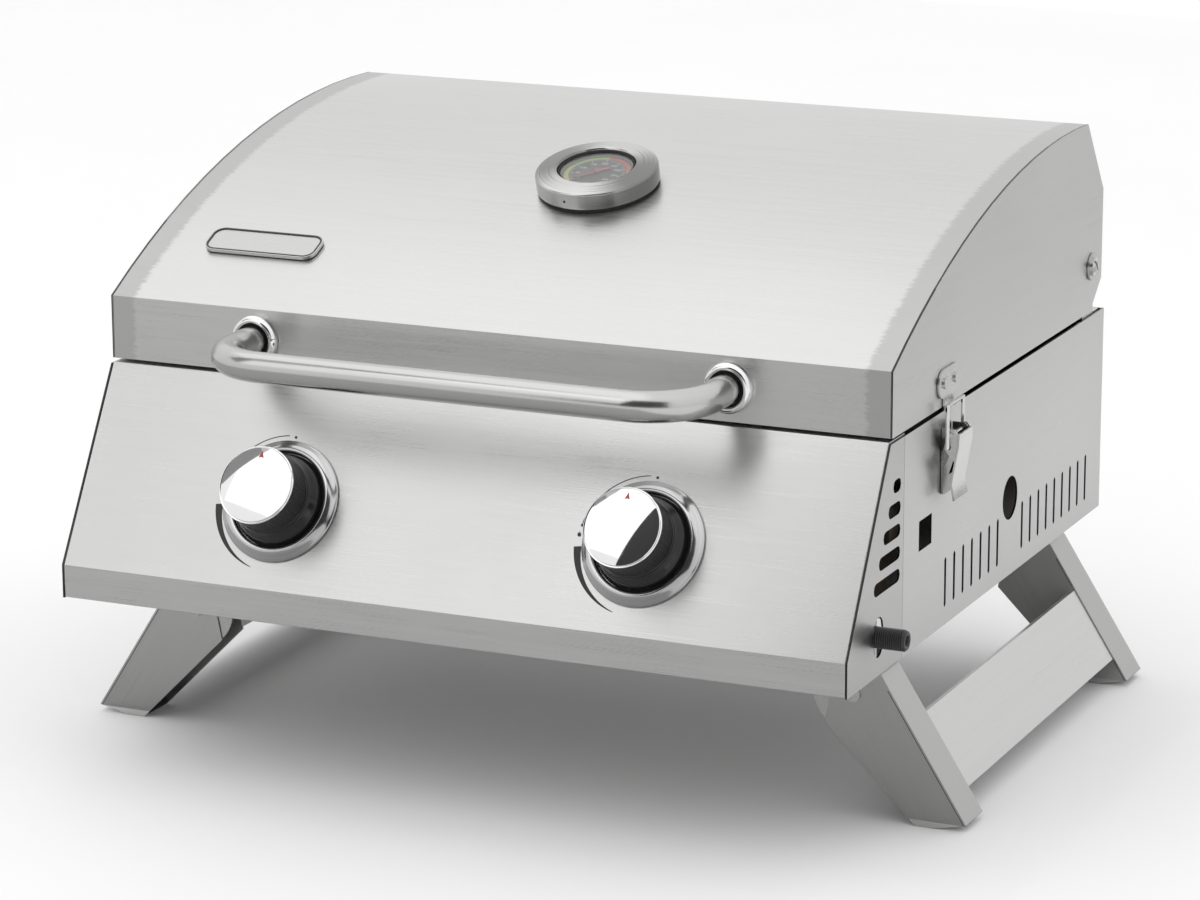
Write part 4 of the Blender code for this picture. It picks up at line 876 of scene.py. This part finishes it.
def gas_inlet():
    """Threaded stub with its hexagon."""
    low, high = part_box("gas_inlet")
    centre = middle("gas_inlet")
    place = upright((1, 0, 0), (low.x, centre.y, centre.z))
    length, root = high.x - low.x, THREAD_ROOT
    steps = int((length - THREAD_START - 0.0010) / THREAD_PITCH * STEPS_PER_PITCH)
    thread = [(THREAD_RADIUS, THREAD_START + k * THREAD_PITCH / STEPS_PER_PITCH)
              for k in range(steps)]
    profile = [(0, 0.0001), (root, 0.0001), (root, THREAD_START - 0.0003), *thread,
               (root, length - 0.0003), (0.0055, length), (0.0036, length),
               (0.0030, length - 0.0008), (0.0030, 0.0040), (0, 0.0040)]

    def cut(radius, height, angle):
        if radius != THREAD_RADIUS:
            return radius
        wave = (height / THREAD_PITCH - angle / (2 * math.pi)) % 1
        return radius - THREAD_DEPTH * abs(2 * wave - 1)

    stub = lathe_mesh("thread", profile, 48, ripple=cut)
    piece("inlet_thread", stub, place, "base", LOOK["thread"], ["gas_inlet"], 60)
    corners = arc((0, 0), HEXAGON_RADIUS, 0, 300, 5)
    hexagon = prism_mesh("hexagon", [corners], HEXAGON_LOW, HEXAGON_HIGH)
    soften(piece("inlet_hexagon", hexagon, place, "base", LOOK["brass"]), 0.0005)


BARS, BAR_PITCH, BAR_RADIUS = 25, 0.0195, 0.0024
ROD_RADIUS, ROD_INSET = 0.0025, 0.005


def grate():
    """Round bars on three cross rods."""
    low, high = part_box("cooking_grate")
    top, floor = high.z - BAR_RADIUS, low.z + ROD_RADIUS
    first = -(BARS - 1) / 2 * BAR_PITCH
    bars = [[(first + k * BAR_PITCH, low.y, top), (first + k * BAR_PITCH, high.y, top)]
            for k in range(BARS)]
    rods = [[(low.x, y, floor), (high.x, y, floor)]
            for y in (low.y + ROD_INSET, (low.y + high.y) / 2, high.y - ROD_INSET)]
    both = joined("grate_bars", [(curve_mesh("bars", bars, BAR_RADIUS, 3), HERE),
                                 (curve_mesh("rods", rods, ROD_RADIUS, 3), HERE)])
    piece("grate_bars", both, HERE, "base", LOOK["enamel"], ["cooking_grate"], 45)


# ---------------------------------------------------------------- studio
FLOOR_REACH, FLOOR_LOW, CARD_LIFT = 8.0, -0.0002, 0.004
FLOOR_TONES = (0.3, (0.91, 0.91, 0.91)), (0.7, (0.93, 0.93, 0.93))
# Sky tones against the height of the direction, from the horizon to straight up.
SKY_TONES = ((0.0, (0.80, 0.80, 0.80)), (0.25, (0.84, 0.84, 0.84)), (0.6, (0.92, 0.92, 0.92)),
             (1.0, (1.0, 1.0, 1.0)))
SKY_STRENGTH = 1.17
AIM = (0, 0, 0.2)
# Name, position, size and radiance of each light.
LIGHTS = (("overhead", (-0.55, -0.25, 1.7), (2.2, 1.2), 0.30),
          ("key", (-1.3, -2.3, 2.3), (2.2, 1.8), 0.29))
# Name, corners and tone of each panel that only reflections see.
CARDS = (("card_front", [(-0.33, -1.20, 0.45), (-0.12, -1.32, 1.75), (1.20, -1.10, 1.60),
                         (1.00, -1.00, 0.35)], 0.03),
         ("card_left", [(-1.78, -1.20, 0.95), (-0.78, -1.05, 2.20), (-1.05, -0.55, 2.15),
                        (-1.85, -0.38, 1.30)], 0.30))


def level_corners(x, y, height):
    """Corners of a level rectangle between two limits in X and two in Y."""
    return [(x[0], y[0], height), (x[1], y[0], height), (x[1], y[1], height),
            (x[0], y[1], height)]


def softbox(name, position, size, radiance):
    """Soft light whose face has an even brightness."""
    light = bpy.data.lights.new(name, "AREA")
    light.shape = "RECTANGLE"
    light.size, light.size_y = size
    light.energy = radiance * math.pi * size[0] * size[1]
    put(name, light, upright(Vector(position) - Vector(AIM), position))


def backdrop(name, corners, look):
    """Flat panel that isn't part of the object."""
    mesh = mesh_from(name, corners, [(0, 1, 2, 3)])
    mesh.materials.append(look)
    obj = put(name, mesh)
    return obj


def card(name, corners, tone):
    """Panel that only reflections see."""
    look, tree, shader = material(name, roughness=0.9)
    tint = colours(tree, noise(tree, 0.3), (0.3, (tone * 0.95,) * 3), (0.7, (tone,) * 3))
    tree.links.new(tint, shader.inputs["Base Color"])
    obj = backdrop(name, corners, look)
    obj.visible_camera = obj.visible_shadow = obj.visible_diffuse = False


def floor_paper():
    look, tree, shader = material("floor_paper", roughness=0.75)
    tone = noise(tree, 0.6, detail=2.0)
    tree.links.new(colours(tree, tone, *FLOOR_TONES), shader.inputs["Base Color"])
    bump(tree, shader, noise(tree, 0.002), 0.0001, 0.1)
    return look


def sky():
    """World that brightens from the horizon upwards."""
    world = bpy.data.worlds.new("studio")
    bpy.context.scene.world = world
    world.use_nodes = True
    tree = world.node_tree
    place, apart = add(tree, "ShaderNodeTexCoord"), add(tree, "ShaderNodeSeparateXYZ")
    tree.links.new(place.outputs["Generated"], apart.inputs[0])
    tint = colours(tree, apart.outputs[2], *SKY_TONES)
    tree.links.new(tint, tree.nodes["Background"].inputs["Color"])
    tree.nodes["Background"].inputs["Strength"].default_value = SKY_STRENGTH


def studio():
    limits = (-FLOOR_REACH, FLOOR_REACH)
    backdrop("floor", level_corners(limits, limits, FLOOR_LOW), floor_paper())
    sky()
    for light in LIGHTS:
        softbox(*light)
    card("floor_card", level_corners((-2.6, 0.36), (-2.8, 3.0), CARD_LIFT), 0.46)
    card("floor_card_right", level_corners((0.63, 2.6), (0.30, 3.0), CARD_LIFT), 0.50)
    for name, corners, tone in CARDS:
        card(name, corners, tone)


# Direction from the object to the camera, and the camera's roll, in degrees.
AZIMUTH, ELEVATION, ROLL = 24.24, 14.38, -0.16
CAMERA_AT, LENS, SENSOR = (1.1119, -2.4652, 0.8688), 131.1, 36.0


def camera():
    """Camera at the photograph's angle."""
    azimuth, elevation, roll = (math.radians(a) for a in (AZIMUTH, ELEVATION, ROLL))
    level = math.cos(elevation)
    back = Vector((math.sin(azimuth) * level, -math.cos(azimuth) * level, math.sin(elevation)))
    right = Vector((math.cos(azimuth), math.sin(azimuth), 0))
    up = back.cross(right)
    turned = (math.cos(roll) * right + math.sin(roll) * up,
              math.cos(roll) * up - math.sin(roll) * right)
    turn = Matrix((*turned, back)).transposed().to_4x4()
    view = bpy.data.cameras.new("camera")
    view.lens, view.sensor_width = LENS, SENSOR
    bpy.context.scene.camera = put("camera", view, Matrix.Translation(CAMERA_AT) @ turn)
    bpy.context.scene.view_settings.view_transform = "Standard"


camera()
studio()
finish_nodes()
for side_name, _ in SIDES:
    knob(side_name)
handle()
gauge()
badge()
gas_inlet()
grate()

bpy.context.view_layer.update()
